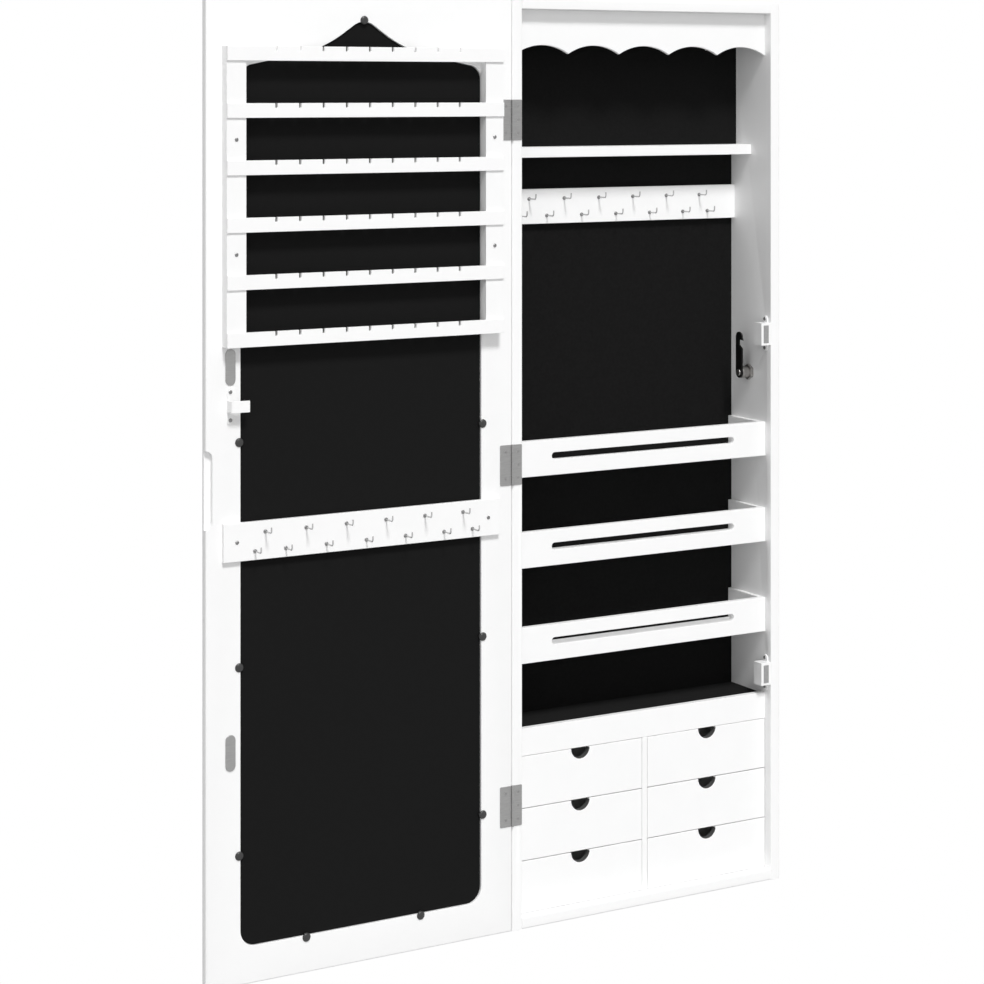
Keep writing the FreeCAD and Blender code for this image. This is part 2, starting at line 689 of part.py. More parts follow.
rack_left = door_mid - S.rack_width / 2
rack_right = door_mid + S.rack_width / 2
post_front = front - S.post_thick
post_screws = [(x, z) for x in (rack_left + S.post_width / 2, rack_right - S.post_width / 2)
               for z in (S.post_screw_low, S.post_screw_high)]
board_front = front - S.door_board_thick
board_screws = [(x, S.door_board_base + S.hook_board_height / 2)
                for x in (rack_left + S.board_screw_inset, rack_right - S.board_screw_inset)]
bracket_left = door_free_edge + S.bracket_inset
bracket_mid = bracket_left + S.bracket_base_width / 2
bracket_front = front - S.bracket_sheet
bracket_screws = [(bracket_mid, S.bracket_centre + k * S.bracket_screw_spread) for k in (-1, 1)]
frame_screws = post_screws + board_screws + bracket_screws


def door_frame():
    """A board with a rebated arched opening, screw holes and a finger pull in its free edge."""
    frame = Piece("door_frame")
    slab = frame.pad("XZ", front, S.door_thick, lambda s: rectangle(
        s, door_free_edge, Size("0", 0), S.cab_width, S.cab_height))
    frame.ease("Fillet", slab, "Radius", S.outer_round,
               lambda e: abs(e.tangentAt(e.FirstParameter).y) < 0.5)
    rebate = S.panel_recess + S.backing_thick + S.mirror_thick
    frame.cut("XZ", front, rebate, lambda s: arched_outline(s, 0))
    frame.cut("XZ", front + rebate, S.door_thick - rebate,
              lambda s: arched_outline(s, S.mirror_lip))
    frame.cut("XZ", front, S.screw_bite,
              few_sided(frame_screws + door_leaf_screws, shank_hole, SHANK_SIDES))
    frame.cut("XZ", front, S.pull_depth, finger_pull)


def finger_pull(sketch):
    r = S.pull_width
    edge, low, high = door_free_edge, S.pull_base, S.pull_base + S.pull_height
    outline(sketch, [(edge, low), (edge + r, low + r, r, 1), (edge + r, high - r),
                     (edge, high, r, 1)])


def door_panels():
    backing_y = front + S.panel_recess
    board_of("backing_board", "XZ", backing_y, S.backing_thick,
             lambda s: arched_outline(s, S.panel_fit))
    board_of("mirror", "XZ", backing_y + S.backing_thick, S.mirror_thick,
             lambda s: arched_outline(s, S.panel_fit))


def backing_clips():
    """Caps on the frame, sloped all round, each with a foot that bears on the backing board."""
    half = S.cab_width / 2 - S.frame_border
    low = S.frame_border - S.clip_offset
    out, foot = S.clip_offset, S.clip_dia / 4
    places = [(door_mid, S.crown_top + out, 0, -1)]
    for offset in (-S.clip_bottom_offset, S.clip_bottom_offset):
        places.append((door_mid + offset, low, 0, 1))
    for z in (S.clip_low, S.clip_mid, S.clip_high):
        places.append((door_mid - half - out, z, 1, 0))
        places.append((door_mid + half + out, z, -1, 0))
    clips = Piece("backing_clips")
    caps = clips.pad("XZ", front - S.clip_height, S.clip_height,
                     few_sided([(x, z) for x, z, _, _ in places], S.clip_dia / 2, CAP_SIDES))
    clips.ease("Chamfer", caps, "Size", S.clip_height * 0.8, lambda e: (
        e.BoundBox.YMax < number(front) - 0.1 and e.BoundBox.YLength < 0.1))
    reach = S.clip_offset + foot / 2 + S.panel_fit
    clips.pad("XZ", front, S.panel_recess,
              few_sided([(x + u * reach, z + w * reach) for x, z, u, w in places], foot / 2,
                        SHANK_SIDES))


def rack():
    """Two posts, housed in front for six slotted rails that stand a little proud."""
    housing = S.rack_rail_thick - S.rack_rail_proud
    deep = post_front + housing
    top = S.rack_base + (S.rack_rail_count - 1) * S.rack_pitch + S.rack_rail_height
    corners = [(front, S.rack_base), (front, top)]
    for i in range(int(number(S.rack_rail_count)) - 1, -1, -1):
        low = S.rack_base + i * S.rack_pitch
        high = low + S.rack_rail_height
        corners += [(post_front, high), (deep, high), (deep, low), (post_front, low)]
    corners = corners[:2] + corners[3:-1]
    posts = Piece("rack_posts")
    post = posts.pad("YZ", rack_left, S.post_width, lambda s: outline(s, corners))
    posts.repeat([post], "X", S.rack_width - S.post_width, 2)
    posts.cut("XZ", post_front, S.post_thick, few_sided(post_screws, shank_hole, SHANK_SIDES))
    rails = Piece("earring_rails")
    rail = rails.pad("XZ", post_front - S.rack_rail_proud, S.rack_rail_thick, notched_rail)
    rails.repeat([rail], "Z", (S.rack_rail_count - 1) * S.rack_pitch, S.rack_rail_count)


def notched_rail(sketch):
    """A strip with pointed notches in its upper edge."""
    low, high = S.rack_base, S.rack_base + S.rack_rail_height
    r = S.notch_width / 2
    count = int(number(S.notch_count))
    corners = [(rack_left, low), (rack_right, low), (rack_right, high)]
    for i in range(count):
        x = door_mid + ((S.notch_count - 1) / 2 - i) * S.notch_pitch
        floor = high - S.notch_depth
        corners += [(x + r, high), (x + r, floor + r), (x, floor), (x - r, floor + r),
                    (x - r, high)]
    outline(sketch, corners + [(rack_left, high)])


def door_hook_board():
    def draw(sketch):
        rectangle(sketch, rack_left, S.door_board_base, S.rack_width, S.hook_board_height)
        few_sided(board_screws, shank_hole, SHANK_SIDES)(sketch)
    board_of("door_hook_board", "XZ", board_front, S.door_board_thick, draw)
    hooks("door_hooks", door_mid, board_front, S.door_board_base)


def door_screws():
    """Pan-head screws of the rack, the hook board and the lock's bracket."""
    groups = []
    for face, places in ((post_front, post_screws), (board_front, board_screws),
                         (bracket_front, bracket_screws)):
        length = front + S.screw_bite - S.screw_fit - face
        groups.append(("XZ", face - S.screw_head_thick, S.screw_head_thick, face, length,
                       S.screw_head_dia, places))
    screws_at("door_screws", groups)


# ---------------------------------------------------------------- catches and lock

def catches():
    """Magnet catches on the right side board and their strike plates on the door."""
    strikes = Piece("strike_plates")
    strikes.pad("XZ", front - S.strike_thick, S.strike_thick, lambda s: [obround(
        s, door_free_edge + S.strike_inset, z, S.strike_width, S.strike_height)
        for z in catch_heights])
    housing = Piece("magnet_catches")
    magnets = Piece("catch_magnets")
    body_x = inner_right - S.catch_width
    magnet_x = body_x + (S.catch_width - S.magnet_width) / 2
    for z in catch_heights:
        housing.pad("YZ", inner_right - S.ear_thick, S.ear_thick, lambda s: (
            obround(s, catch_mid_y, z, S.ear_width, S.ear_height),
            polygon(s, catch_mid_y, z + S.catch_screw_spread, shank_hole, SHANK_SIDES),
            polygon(s, catch_mid_y, z - S.catch_screw_spread, shank_hole, SHANK_SIDES)))
        housing.pad("XY", z - S.catch_height / 2, S.catch_height, lambda s: rectangle(
            s, body_x, front, S.catch_width, S.catch_depth))
        housing.cut("XY", z - S.magnet_height / 2, S.magnet_height, lambda s: rectangle(
            s, magnet_x, front, S.magnet_width, S.magnet_depth))
        magnets.pad("XY", z - S.magnet_height / 2, S.magnet_height, lambda s: rectangle(
            s, magnet_x, front - S.magnet_proud, S.magnet_width, S.magnet_depth + S.magnet_proud))
    head_face = inner_right - S.ear_thick
    length = S.ear_thick + S.screw_bite - S.screw_fit
    screws_at("catch_screws", [("YZ", head_face - S.screw_head_thick, S.screw_head_thick,
                                head_face, length, S.screw_head_dia, catch_screws)])


lock_y = front + S.lock_depth
cam_outer = inner_right - S.catch_width - S.cam_clearance
cam_inner = cam_outer - S.cam_thick


def hexagon(sketch, y, z, across):
    """A hexagon with a corner at the top."""
    r = across / 2
    half = r / 2
    flat = r * math.sqrt(3) / 2
    outline(sketch, [(y, z - r), (y + flat, z - half), (y + flat, z + half), (y, z + r),
                     (y - flat, z + half), (y - flat, z - half)])


def lock():
    """A cam lock through the right side board; its plug turns the hooked cam."""
    at_lock = [(lock_y, S.lock_height)]
    barrel_end = cam_outer + S.cam_gap
    body = Piece("lock_body")
    body.pad("YZ", barrel_end, right - barrel_end, circles(at_lock, S.barrel_radius))
    body.pad("YZ", right, S.flange_thick, circles(at_lock, S.flange_radius))
    body.cut("YZ", barrel_end, right + S.flange_thick - barrel_end,
             circles(at_lock, S.plug_radius + S.plug_fit))
    nut = board_of("lock_nut", "YZ", inner_right - S.nut_thick, S.nut_thick, lambda s: (
        hexagon(s, lock_y, S.lock_height, S.nut_across_corners),
        circle(s, lock_y, S.lock_height, S.barrel_radius + S.screw_fit)))
    plug = Piece("lock_plug")
    plug.pad("YZ", cam_outer, right + S.flange_thick - cam_outer,
             circles(at_lock, S.plug_radius))
    plug.pad("YZ", cam_inner, S.cam_thick, circles(at_lock, S.tenon_radius))
    plug.cut("YZ", right + S.flange_thick - S.key_slot_depth, S.key_slot_depth,
             lambda s: rectangle(s, lock_y - S.key_slot_width / 2,
                                 S.lock_height - S.key_slot_length / 2,
                                 S.key_slot_width, S.key_slot_length))
    board_of("lock_cam", "YZ", cam_inner, S.cam_thick, cam_outline)
    board_of("cam_screw", "YZ", cam_inner - S.cam_screw_head, S.cam_screw_head,
             circles(at_lock, S.cam_screw_radius))


def cam_outline(sketch):
    """An arm that stands up from the plug, with a mouth in its front edge under a round hook."""
    y, z, w = lock_y, S.lock_height, S.cam_half_width
    tip = z + S.cam_length
    floor = y - w + S.cam_mouth_depth
    outline(sketch, [
        (y, z - w, w, 1), (y + w, z, w, 1), (y + w, tip - w), (y, tip, w, 1),
        (y - w, tip - w, w, 1), (y - w - S.cam_thick, z + S.cam_mouth_high - S.cam_tip_droop),
        (floor, z + S.cam_mouth_high), (floor, z + S.cam_mouth_low + S.cam_mouth_depth * 0.75),
        (y - w, z + S.cam_mouth_low), (y - w, z)])
    circle(sketch, y, z, S.tenon_radius + S.pin_fit)


def strike_bracket():
    """A folded strip: a base screwed to the door, a leg and the tab that the cam hooks."""
    bracket = Piece("strike_bracket")
    bracket.pad("XZ", bracket_front, S.bracket_sheet, lambda s: (
        obround(s, bracket_mid, S.bracket_centre, S.bracket_base_width, S.bracket_base_height),
        few_sided(bracket_screws, shank_hole, SHANK_SIDES)(s)))
    out, sheet_ = front - S.bracket_reach, S.bracket_sheet
    bend = 2 * sheet_
    a = bracket_left
    bracket.pad("XY", S.bracket_centre - S.bracket_tab_height / 2, S.bracket_tab_height,
                lambda s: outline(s, [
                    (a, bracket_front), (a, out + bend), (a + bend, out, bend, 1),
                    (a + S.bracket_tab_length, out), (a + S.bracket_tab_length, out + sheet_),
                    (a + bend, out + sheet_), (a + sheet_, out + bend, sheet_, -1),
                    (a + sheet_, bracket_front)]))


# ---------------------------------------------------------------- the cabinet

carcass()
back()
valance()
top_shelf()
cabinet_hook_board()
for shelf_name, shelf_base in (("upper", S.upper_shelf_base), ("middle", S.middle_shelf_base),
                               ("lower", S.lower_shelf_base)):
    jewelry_shelf(shelf_name, shelf_base)
shelf_floors_and_sides([S.lower_shelf_base, S.middle_shelf_base, S.upper_shelf_base])
tray()
drawer_housing()
drawers()
hinges()
door_frame()
door_panels()
backing_clips()
rack()
door_hook_board()
door_screws()
catches()
lock()
strike_bracket()
doc.recompute()

for thing in doc.Objects:
    if "Invalid" in thing.State or "Error" in thing.State:
        raise ValueError("%s did not build: %s" % (thing.Label, thing.State))
for node in NODES:
    if node.Shape.isNull() or not node.Shape.isValid() or not node.Shape.Solids:
        raise ValueError("%s has no valid solid" % node.Label)
for node in NODES:
    node.Shape.exportStep("parts/%s.step" % node.Label)
print("pieces:", len(NODES), "solids:", sum(len(node.Shape.Solids) for node in NODES))
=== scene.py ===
import json
import math

import bmesh
import bpy
from mathutils import Matrix, Vector

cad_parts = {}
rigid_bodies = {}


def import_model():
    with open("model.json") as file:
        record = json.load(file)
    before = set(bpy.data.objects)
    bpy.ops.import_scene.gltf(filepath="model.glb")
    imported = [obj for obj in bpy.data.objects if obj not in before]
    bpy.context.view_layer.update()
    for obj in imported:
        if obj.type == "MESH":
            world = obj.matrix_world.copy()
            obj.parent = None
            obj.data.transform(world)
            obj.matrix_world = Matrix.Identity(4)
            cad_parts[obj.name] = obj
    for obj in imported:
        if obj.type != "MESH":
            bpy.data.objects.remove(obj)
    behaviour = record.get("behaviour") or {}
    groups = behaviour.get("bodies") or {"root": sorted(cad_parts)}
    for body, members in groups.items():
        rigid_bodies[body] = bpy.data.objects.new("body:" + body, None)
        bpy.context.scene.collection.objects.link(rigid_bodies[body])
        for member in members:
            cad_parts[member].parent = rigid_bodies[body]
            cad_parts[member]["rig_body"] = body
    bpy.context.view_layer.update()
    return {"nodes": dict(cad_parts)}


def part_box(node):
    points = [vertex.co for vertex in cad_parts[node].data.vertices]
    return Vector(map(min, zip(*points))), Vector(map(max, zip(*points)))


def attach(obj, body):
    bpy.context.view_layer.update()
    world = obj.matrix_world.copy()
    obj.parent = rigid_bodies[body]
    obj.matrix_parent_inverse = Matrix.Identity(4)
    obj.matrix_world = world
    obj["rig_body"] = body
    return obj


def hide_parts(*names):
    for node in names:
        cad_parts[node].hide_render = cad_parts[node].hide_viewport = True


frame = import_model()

NODES = frame["nodes"]
BODY_OF = {name: node["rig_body"] for name, node in NODES.items()}
MM = 0.001

# Lengths in millimetres, in the frame's axes: +X right, +Y towards the wall, +Z up. The cabinet
# is centred on x = 0. The door is at its left, open by 180 degrees.
CAB_WIDTH, CAB_HEIGHT, BOARD, FRONT = 375.0, 1060.0, 13.0, -87.0
INNER_RIGHT = CAB_WIDTH / 2 - BOARD
HINGE_X, HINGE_Y, HINGES = -187.7, -88.2, (142.5, 529.3, 920.8)
LEAF_HEIGHT, LEAF_SCREW_PITCH = 46.0, 15
DOOR_EDGE = HINGE_X - 0.2
DOOR_MID, DOOR_FREE = DOOR_EDGE - CAB_WIDTH / 2, DOOR_EDGE - CAB_WIDTH
STILE, ARCH_TOP, CROWN = 40, 1029.4, 21
RACK_HALF = 169.0
BRACKET_X, BRACKET_Z = DOOR_FREE + 24, 618.5
BRACKET_SHEET, BRACKET_HALF, BRACKET_SCREWS = 1.2, 3.7, 15
CATCHES, CATCH_Y = (249.4, 659.8), FRONT + 10.5
CATCH_EAR, CATCH_SCREWS = 1.6, 17.5
LOCK_Y, LOCK_Z = -43.0, 610.0

SAG, ARC_STEP = 0.02, 0.26  # the most that an arc's chord stands off it, and may turn
SHARP, CREASE = 0.33, 0.6   # angles from which an edge is shaded sharp, and is eased
JOIN, JOIN_CAD = 1e-4, 1e-3  # corners this near are one, in new forms and in the nodes' own
FLAT = 0.01                  # faces that meet at less than this angle are one


# ---------------------------------------------------------------- finishes

# Where on the noise the colour's two ends are, and how far the roughness swings with it.
DRIFT_ENDS, GLOSS_SWING = (0.3, 0.7), 0.12


def grained(name, colour, rough, spread=0.03, grain=(35, 35, 35), bump=0.08,
            pits=(1300, 1300, 1300), depth=0.00004, **sockets):
    """A finish whose colour and gloss drift a little, over a fine relief."""
    material = bpy.data.materials.new(name)
    material.use_nodes = True
    tree = material.node_tree
    shader = tree.nodes["Principled BSDF"]
    for socket, value in sockets.items():
        shader.inputs[socket.replace("_", " ")].default_value = value
    place = tree.nodes.new("ShaderNodeTexCoord")

    def noise(scale, detail):
        mapping = tree.nodes.new("ShaderNodeMapping")
        mapping.inputs["Scale"].default_value = scale
        texture = tree.nodes.new("ShaderNodeTexNoise")
        texture.inputs["Scale"].default_value = 1.0
        texture.inputs["Detail"].default_value = detail
        tree.links.new(place.outputs["Object"], mapping.inputs["Vector"])
        tree.links.new(mapping.outputs["Vector"], texture.inputs["Vector"])
        return texture.outputs["Fac"]

    drift = noise(grain, 4.0)
    ramp = tree.nodes.new("ShaderNodeValToRGB")
    ends = zip(ramp.color_ramp.elements, (1 - spread, 1 + spread), DRIFT_ENDS)
    for element, factor, at in ends:
        element.position = at
        element.color = [min(c * factor, 1.0) for c in colour] + [1.0]
    tree.links.new(drift, ramp.inputs["Fac"])
    tree.links.new(ramp.outputs["Color"], shader.inputs["Base Color"])
    gloss = tree.nodes.new("ShaderNodeMapRange")
    gloss.inputs["To Min"].default_value = rough * (1 - GLOSS_SWING)
    gloss.inputs["To Max"].default_value = min(rough * (1 + GLOSS_SWING), 1.0)
    tree.links.new(drift, gloss.inputs["Value"])
    tree.links.new(gloss.outputs["Result"], shader.inputs["Roughness"])
    relief = tree.nodes.new("ShaderNodeBump")
    relief.inputs["Strength"].default_value = bump
    relief.inputs["Distance"].default_value = depth
    tree.links.new(noise(pits, 3.0), relief.inputs["Height"])
    tree.links.new(relief.outputs["Normal"], shader.inputs["Normal"])
    return material


def grey(level, warm=0.0):
    """A grey, or a slightly warm one."""
    return (level, level * (1 - warm / 2), level * (1 - warm))


FINISH = {
    "white_board": grained("satin_lacquer", grey(0.93), 0.42, 0.006, bump=0.12,
                           pits=(420, 420, 420), depth=0.00005, Specular_IOR_Level=0.3),
    "hardboard": grained("faced_hardboard", grey(0.86, 0.03), 0.6, 0.03, (90, 90, 90), 0.25,
                         (700, 700, 700), 0.0001, Specular_IOR_Level=0.3),
    "black_lining": grained("flocked_lining", grey(0.0072), 0.95, 0.18, (260, 260, 260), 0.6,
                            (2600, 2600, 2600), 0.0002, Specular_IOR_Level=0.05,
                            Sheen_Weight=0.02, Sheen_Roughness=0.6),
    "black_board": grained("black_faced_board", grey(0.0088), 0.8, 0.06, (120, 120, 120), 0.2,
                           (900, 900, 900), 0.00008, Specular_IOR_Level=0.06),
    # Painted shade: a dark grey for the rims of the drawers' finger cut-outs, in place of the
    # shade inside them.
    "drawer_rim": grained("cut_out_shade_paint", grey(0.085), 0.7, 0.05, (200, 200, 200), 0.2,
                          (1500, 1500, 1500), 0.00005, Specular_IOR_Level=0.1),
    "mirror": grained("silvered_glass", (0.79, 0.82, 0.83), 0.015, 0.004, (6, 6, 6), 0.01,
                      (40, 40, 40), 0.00001, Metallic=1.0),
    "hinge_steel": grained("satin_nickel", grey(0.385, 0.01), 0.46, 0.08, (90, 90, 900), 0.35,
                           (300, 300, 4200), 0.00004, Metallic=1.0, Anisotropic=0.4),
    "screw_steel": grained("plated_screw", grey(0.27), 0.36, 0.1, (500, 500, 500), 0.2,
                           (2600, 2600, 2600), 0.00004, Metallic=1.0),
    "hook_metal": grained("plated_wire", grey(0.5), 0.3, 0.06, (700, 700, 700), 0.12,
                          (3000, 3000, 900), 0.00003, Metallic=1.0),
    "clip_plastic": grained("dark_plastic", grey(0.022), 0.36, 0.1, (300, 300, 300), 0.2,
                            (1800, 1800, 1800), 0.00004, Specular_IOR_Level=0.5,
                            Coat_Weight=0.15, Coat_Roughness=0.2),
    "catch_plastic": grained("moulded_plastic", grey(0.93), 0.3, 0.01, (80, 80, 80), 0.1,
                             (900, 900, 900), 0.00003, Specular_IOR_Level=0.5),
    "magnet": grained("magnet_face", grey(0.36), 0.5, 0.08, (400, 400, 400), 0.3,
                      (2200, 2200, 2200), 0.00006, Metallic=0.6),
    "lock_metal": grained("chromed_zinc", grey(0.42, 0.06), 0.34, 0.08, (250, 250, 250), 0.15,
                          (1500, 1500, 1500), 0.00004, Metallic=1.0),
    "cam_steel": grained("blacked_steel", grey(0.006), 0.4, 0.15, (300, 300, 300), 0.3,
                         (1800, 1800, 1800), 0.00005, Specular_IOR_Level=0.3),
    "white_steel": grained("powder_coat", grey(0.93), 0.5, 0.008, (150, 150, 150), 0.35,
                           (1700, 1700, 1700), 0.00006, Specular_IOR_Level=0.3),
}
SLOT_OF = {node.name: node.material_slots[0].material.name.split(".")[0]
           for node in NODES.values()}
for node in NODES.values():
    node.material_slots[0].material = FINISH[SLOT_OF[node.name]]


# ---------------------------------------------------------------- shapes, in millimetres

PLANES = {  # columns: where the drawing's u, v and its height w go
    "XY": Matrix(((1, 0, 0), (0, 1, 0), (0, 0, 1))),
    "XZ": Matrix(((1, 0, 0), (0, 0, -1), (0, 1, 0))),
    "YZ": Matrix(((0, 0, 1), (1, 0, 0), (0, 1, 0))),
}


def outline(corners, steps=None):
    """A closed line through the corners; (u, v, radius, turn) is reached by an arc."""
    points = []
    for i, corner in enumerate(corners):
        end = Vector(corner[:2])
        if len(corner) == 4:
            start = Vector(corners[i - 1][:2])
            radius, turn = corner[2:]
            chord = end - start
            rise = math.sqrt(max(radius ** 2 - chord.length_squared / 4, 0.0))
            centre = (start + end) / 2 + Vector((-chord.y, chord.x)).normalized() * rise * turn
            sweep = 2 * math.asin(min(chord.length / 2 / radius, 1.0))
            fine = 2 * math.acos(1 - min(SAG / radius, 0.5))
            count = steps or max(math.ceil(sweep / fine), math.ceil(sweep / ARC_STEP))
            first = start - centre
            for k in range(1, count):
                a = turn * sweep * k / count
                points.append((centre.x + first.x * math.cos(a) - first.y * math.sin(a),
                               centre.y + first.x * math.sin(a) + first.y * math.cos(a)))
        points.append((end.x, end.y))
    return points


def rectangle(u, v, width, height):
    """Its corners, from the lower left one."""
    return [(u, v), (u + width, v), (u + width, v + height), (u, v + height)]


def round_end(u, v, width, height):
    """A slot about its centre with half-round ends on its short sides."""
    if width > height:
        a, r = (width - height) / 2, height / 2
        return outline([(u - a, v - r), (u + a, v - r), (u + a, v + r, r, 1), (u - a, v + r),
                        (u - a, v - r, r, 1)])
    a, r = (height - width) / 2, width / 2
    return outline([(u + r, v - a), (u + r, v + a), (u - r, v + a, r, 1), (u - r, v - a),
                    (u + r, v - a, r, 1)])


def circle(u, v, radius, steps=28):
    """A closed ring of points."""
    return [(u + radius * math.cos(2 * math.pi * k / steps),
             v + radius * math.sin(2 * math.pi * k / steps)) for k in range(steps)]


def area(loop):
    """Positive where the loop runs anticlockwise."""
    return sum(a[0] * b[1] - b[0] * a[1] for a, b in zip(loop, loop[1:] + loop[:1])) / 2


def baked(thing):
    """The mesh that an object shows, with the object removed."""
    bpy.context.scene.collection.objects.link(thing)
    bpy.context.view_layer.update()
    depsgraph = bpy.context.evaluated_depsgraph_get()
    mesh = bpy.data.meshes.new_from_object(thing.evaluated_get(depsgraph))
    bpy.data.objects.remove(thing)
    return mesh


def slab(bm, loops, plane, level, thick, ease=0.4, segments=1):
    """A flat board of that outline, with eased edges; loops after the first are holes."""
    curve = bpy.data.curves.new("draft", "CURVE")
    curve.dimensions, curve.fill_mode = "2D", "BOTH"
    curve.extrude, curve.bevel_depth = thick / 2 - ease, ease
    curve.offset, curve.bevel_resolution = -ease, segments
    for i, loop in enumerate(loops):
        points = loop if (area(loop) > 0) == (i == 0) else loop[::-1]
        spline = curve.splines.new("POLY")
        spline.points.add(len(points) - 1)
        for point, (u, v) in zip(spline.points, points):
            point.co = (u, v, 0, 1)
        spline.use_cyclic_u = True
    mesh = baked(bpy.data.objects.new("draft", curve))
    turn = PLANES[plane].copy()
    shift = turn @ Vector((0, 0, 1))
    middle = level + thick / 2
    mesh.transform(Matrix.Translation(Vector(abs(c) for c in shift) * middle) @ turn.to_4x4())
    bm.from_mesh(mesh)
    bpy.data.meshes.remove(mesh)


def prism(bm, loop, plane, level, thick):
    """A sharp-edged board, for cutters and small blocks."""
    turn = PLANES[plane]
    along = Vector(abs(c) for c in turn @ Vector((0, 0, 1)))
    rings = [[bm.verts.new(turn @ Vector((u, v, 0)) + along * at) for u, v in loop]
             for at in (level, level + thick)]
    bm.faces.new(rings[0])
    bm.faces.new(rings[1][::-1])
    bridge(bm, rings[0], rings[1])


def bridge(bm, ring, other):
    """Faces between two closed rings; a ring of one point makes a fan."""
    count = max(len(ring), len(other))
    if count == 1:
        return
    for k in range(count):
        corners = [ring[k % len(ring)], ring[(k + 1) % len(ring)],
                   other[(k + 1) % len(other)], other[k % len(other)]]
        bm.faces.new(list(dict.fromkeys(corners)))


def lathe(bm, profile, centre, axis, steps=24, closed=False):
    """A turned solid: (radius, height) pairs round an axis through the centre."""
    along = Vector(axis).normalized()
    side = along.orthogonal().normalized()
    other = along.cross(side)
    rings = []
    for radius, height in profile:
        foot = Vector(centre) + along * height
        if radius < 1e-6:
            rings.append([bm.verts.new(foot)])
            continue
        rings.append([bm.verts.new(foot + (side * math.cos(a) + other * math.sin(a)) * radius)
                      for a in (2 * math.pi * k / steps for k in range(steps))])
    for ring, following in zip(rings, rings[1:] + (rings[:1] if closed else [])):
        bridge(bm, ring, following)


def dome(radius, foot, rise, count=6):
    """Profile points from a rim up to a rounded crown."""
    return [(radius * math.cos(math.pi / 2 * k / count), foot + rise * math.sin(
        math.pi / 2 * k / count)) for k in range(count)] + [(0, foot + rise)]


WIRE_TIP = (0.5, 0.95, 1.3, 1.52)  # angles at which the rounded tip has its rings


def wires(paths, radius):
    """Round wire along open lines, each with a rounded tip at its end."""
    curve = bpy.data.curves.new("draft", "CURVE")
    curve.dimensions, curve.bevel_depth, curve.bevel_resolution = "3D", radius, 3
    curve.use_fill_caps = True
    for path in paths:
        ends = [Vector(p) for p in path]
        along = (ends[-1] - ends[-2]).normalized()
        tip = ends.pop() - along * radius
        rows = [(p, 1.0) for p in ends] + [(tip, 1.0)]
        rows += [(tip + along * radius * math.sin(a), math.cos(a)) for a in WIRE_TIP]
        spline = curve.splines.new("POLY")
        spline.points.add(len(rows) - 1)
        for point, (at, size) in zip(spline.points, rows):
            point.co, point.radius = (*at, 1), size
    return baked(bpy.data.objects.new("draft", curve))


def object_of(bm, name, sharp=SHARP, scale=MM):
    """The form as an object, smooth between the edges that are sharper than that angle."""
    bmesh.ops.remove_doubles(bm, verts=bm.verts, dist=JOIN)
    bmesh.ops.recalc_face_normals(bm, faces=bm.faces)
    bm.transform(Matrix.Scale(scale, 4))
    mesh = bpy.data.meshes.new(name)
    bm.to_mesh(mesh)
    bm.free()
    mesh.shade_smooth()
    mesh.set_sharp_from_angle(angle=sharp)
    return bpy.data.objects.new(name, mesh)


def cut(bm, cutter):
    """The first form less the second, as a new form."""
    body, tool = object_of(bm, "draft", scale=1.0), object_of(cutter, "cutter", scale=1.0)
    bpy.context.scene.collection.objects.link(tool)
    modifier = body.modifiers.new("cut", "BOOLEAN")
    modifier.operation, modifier.solver, modifier.object = "DIFFERENCE", "EXACT", tool
    mesh = baked(body)
    bpy.data.objects.remove(tool)
    result = bmesh.new()
    result.from_mesh(mesh)
    bpy.data.meshes.remove(mesh)
    return result


def piece(bm, name, *nodes, finishes=(), sharp=SHARP):
    """Put the form in the scene in the place of the nodes that it stands for."""
    thing = object_of(bm, name, sharp)
    slot = SLOT_OF[nodes[0]]
    for material in finishes or (FINISH[slot],):
        thing.data.materials.append(material)
    bpy.context.scene.collection.objects.link(thing)
    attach(thing, BODY_OF[nodes[0]])
    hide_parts(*nodes)
    return thing


def eased_copy(node, width=0.5):
    """The node's own shape with its sharp edges rounded a little."""
    bm = bmesh.new()
    bm.from_mesh(NODES[node].data)
    bm.transform(Matrix.Scale(1 / MM, 4))
    bmesh.ops.remove_doubles(bm, verts=bm.verts, dist=JOIN_CAD)
    bmesh.ops.dissolve_limit(bm, angle_limit=FLAT, verts=bm.verts, edges=bm.edges)
    edges = [e for e in bm.edges if len(e.link_faces) == 2 and e.calc_face_angle(0) > CREASE]
    bmesh.ops.bevel(bm, geom=edges, offset=width, segments=2, profile=0.5, affect="EDGES",
                    clamp_overlap=True)
    return piece(bm, node + "_eased", node)


def corners_of(node):
    """The node's box in millimetres."""
    lo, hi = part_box(node)
    return lo / MM, hi / MM


# ---------------------------------------------------------------- boards

EASED_BOARDS = (
    "left_side", "right_side", "top_board", "bottom_board", "top_shelf", "cabinet_hook_board",
    "shelf_floors", "shelf_sides", "tray_board", "tray_rail", "drawer_divider", "drawer_decks",
    "hanging_batten", "rack_posts", "door_hook_board")


def front_board(node, loops):
    """A board that faces forward, between the node's own front and back."""
    lo, hi = corners_of(node)
    bm = bmesh.new()
    slab(bm, loops, "XZ", lo.y, hi.y - lo.y, 0.5)
    return piece(bm, node + "_board", node)


def valance_board():
    """The board under the top, whose lower edge is five arcs that meet in downward points."""
    lo, hi = corners_of("valance")
    count, rise = 5, 9.8
    span = (hi.x - lo.x) / count
    radius = (span ** 2 / 4 + rise ** 2) / (2 * rise)
    corners = [(lo.x, lo.z)]
    corners += [(lo.x + i * span, lo.z, radius, -1) for i in range(1, count + 1)]
    front_board("valance", [outline(corners + [(hi.x, hi.z), (lo.x, hi.z)])])


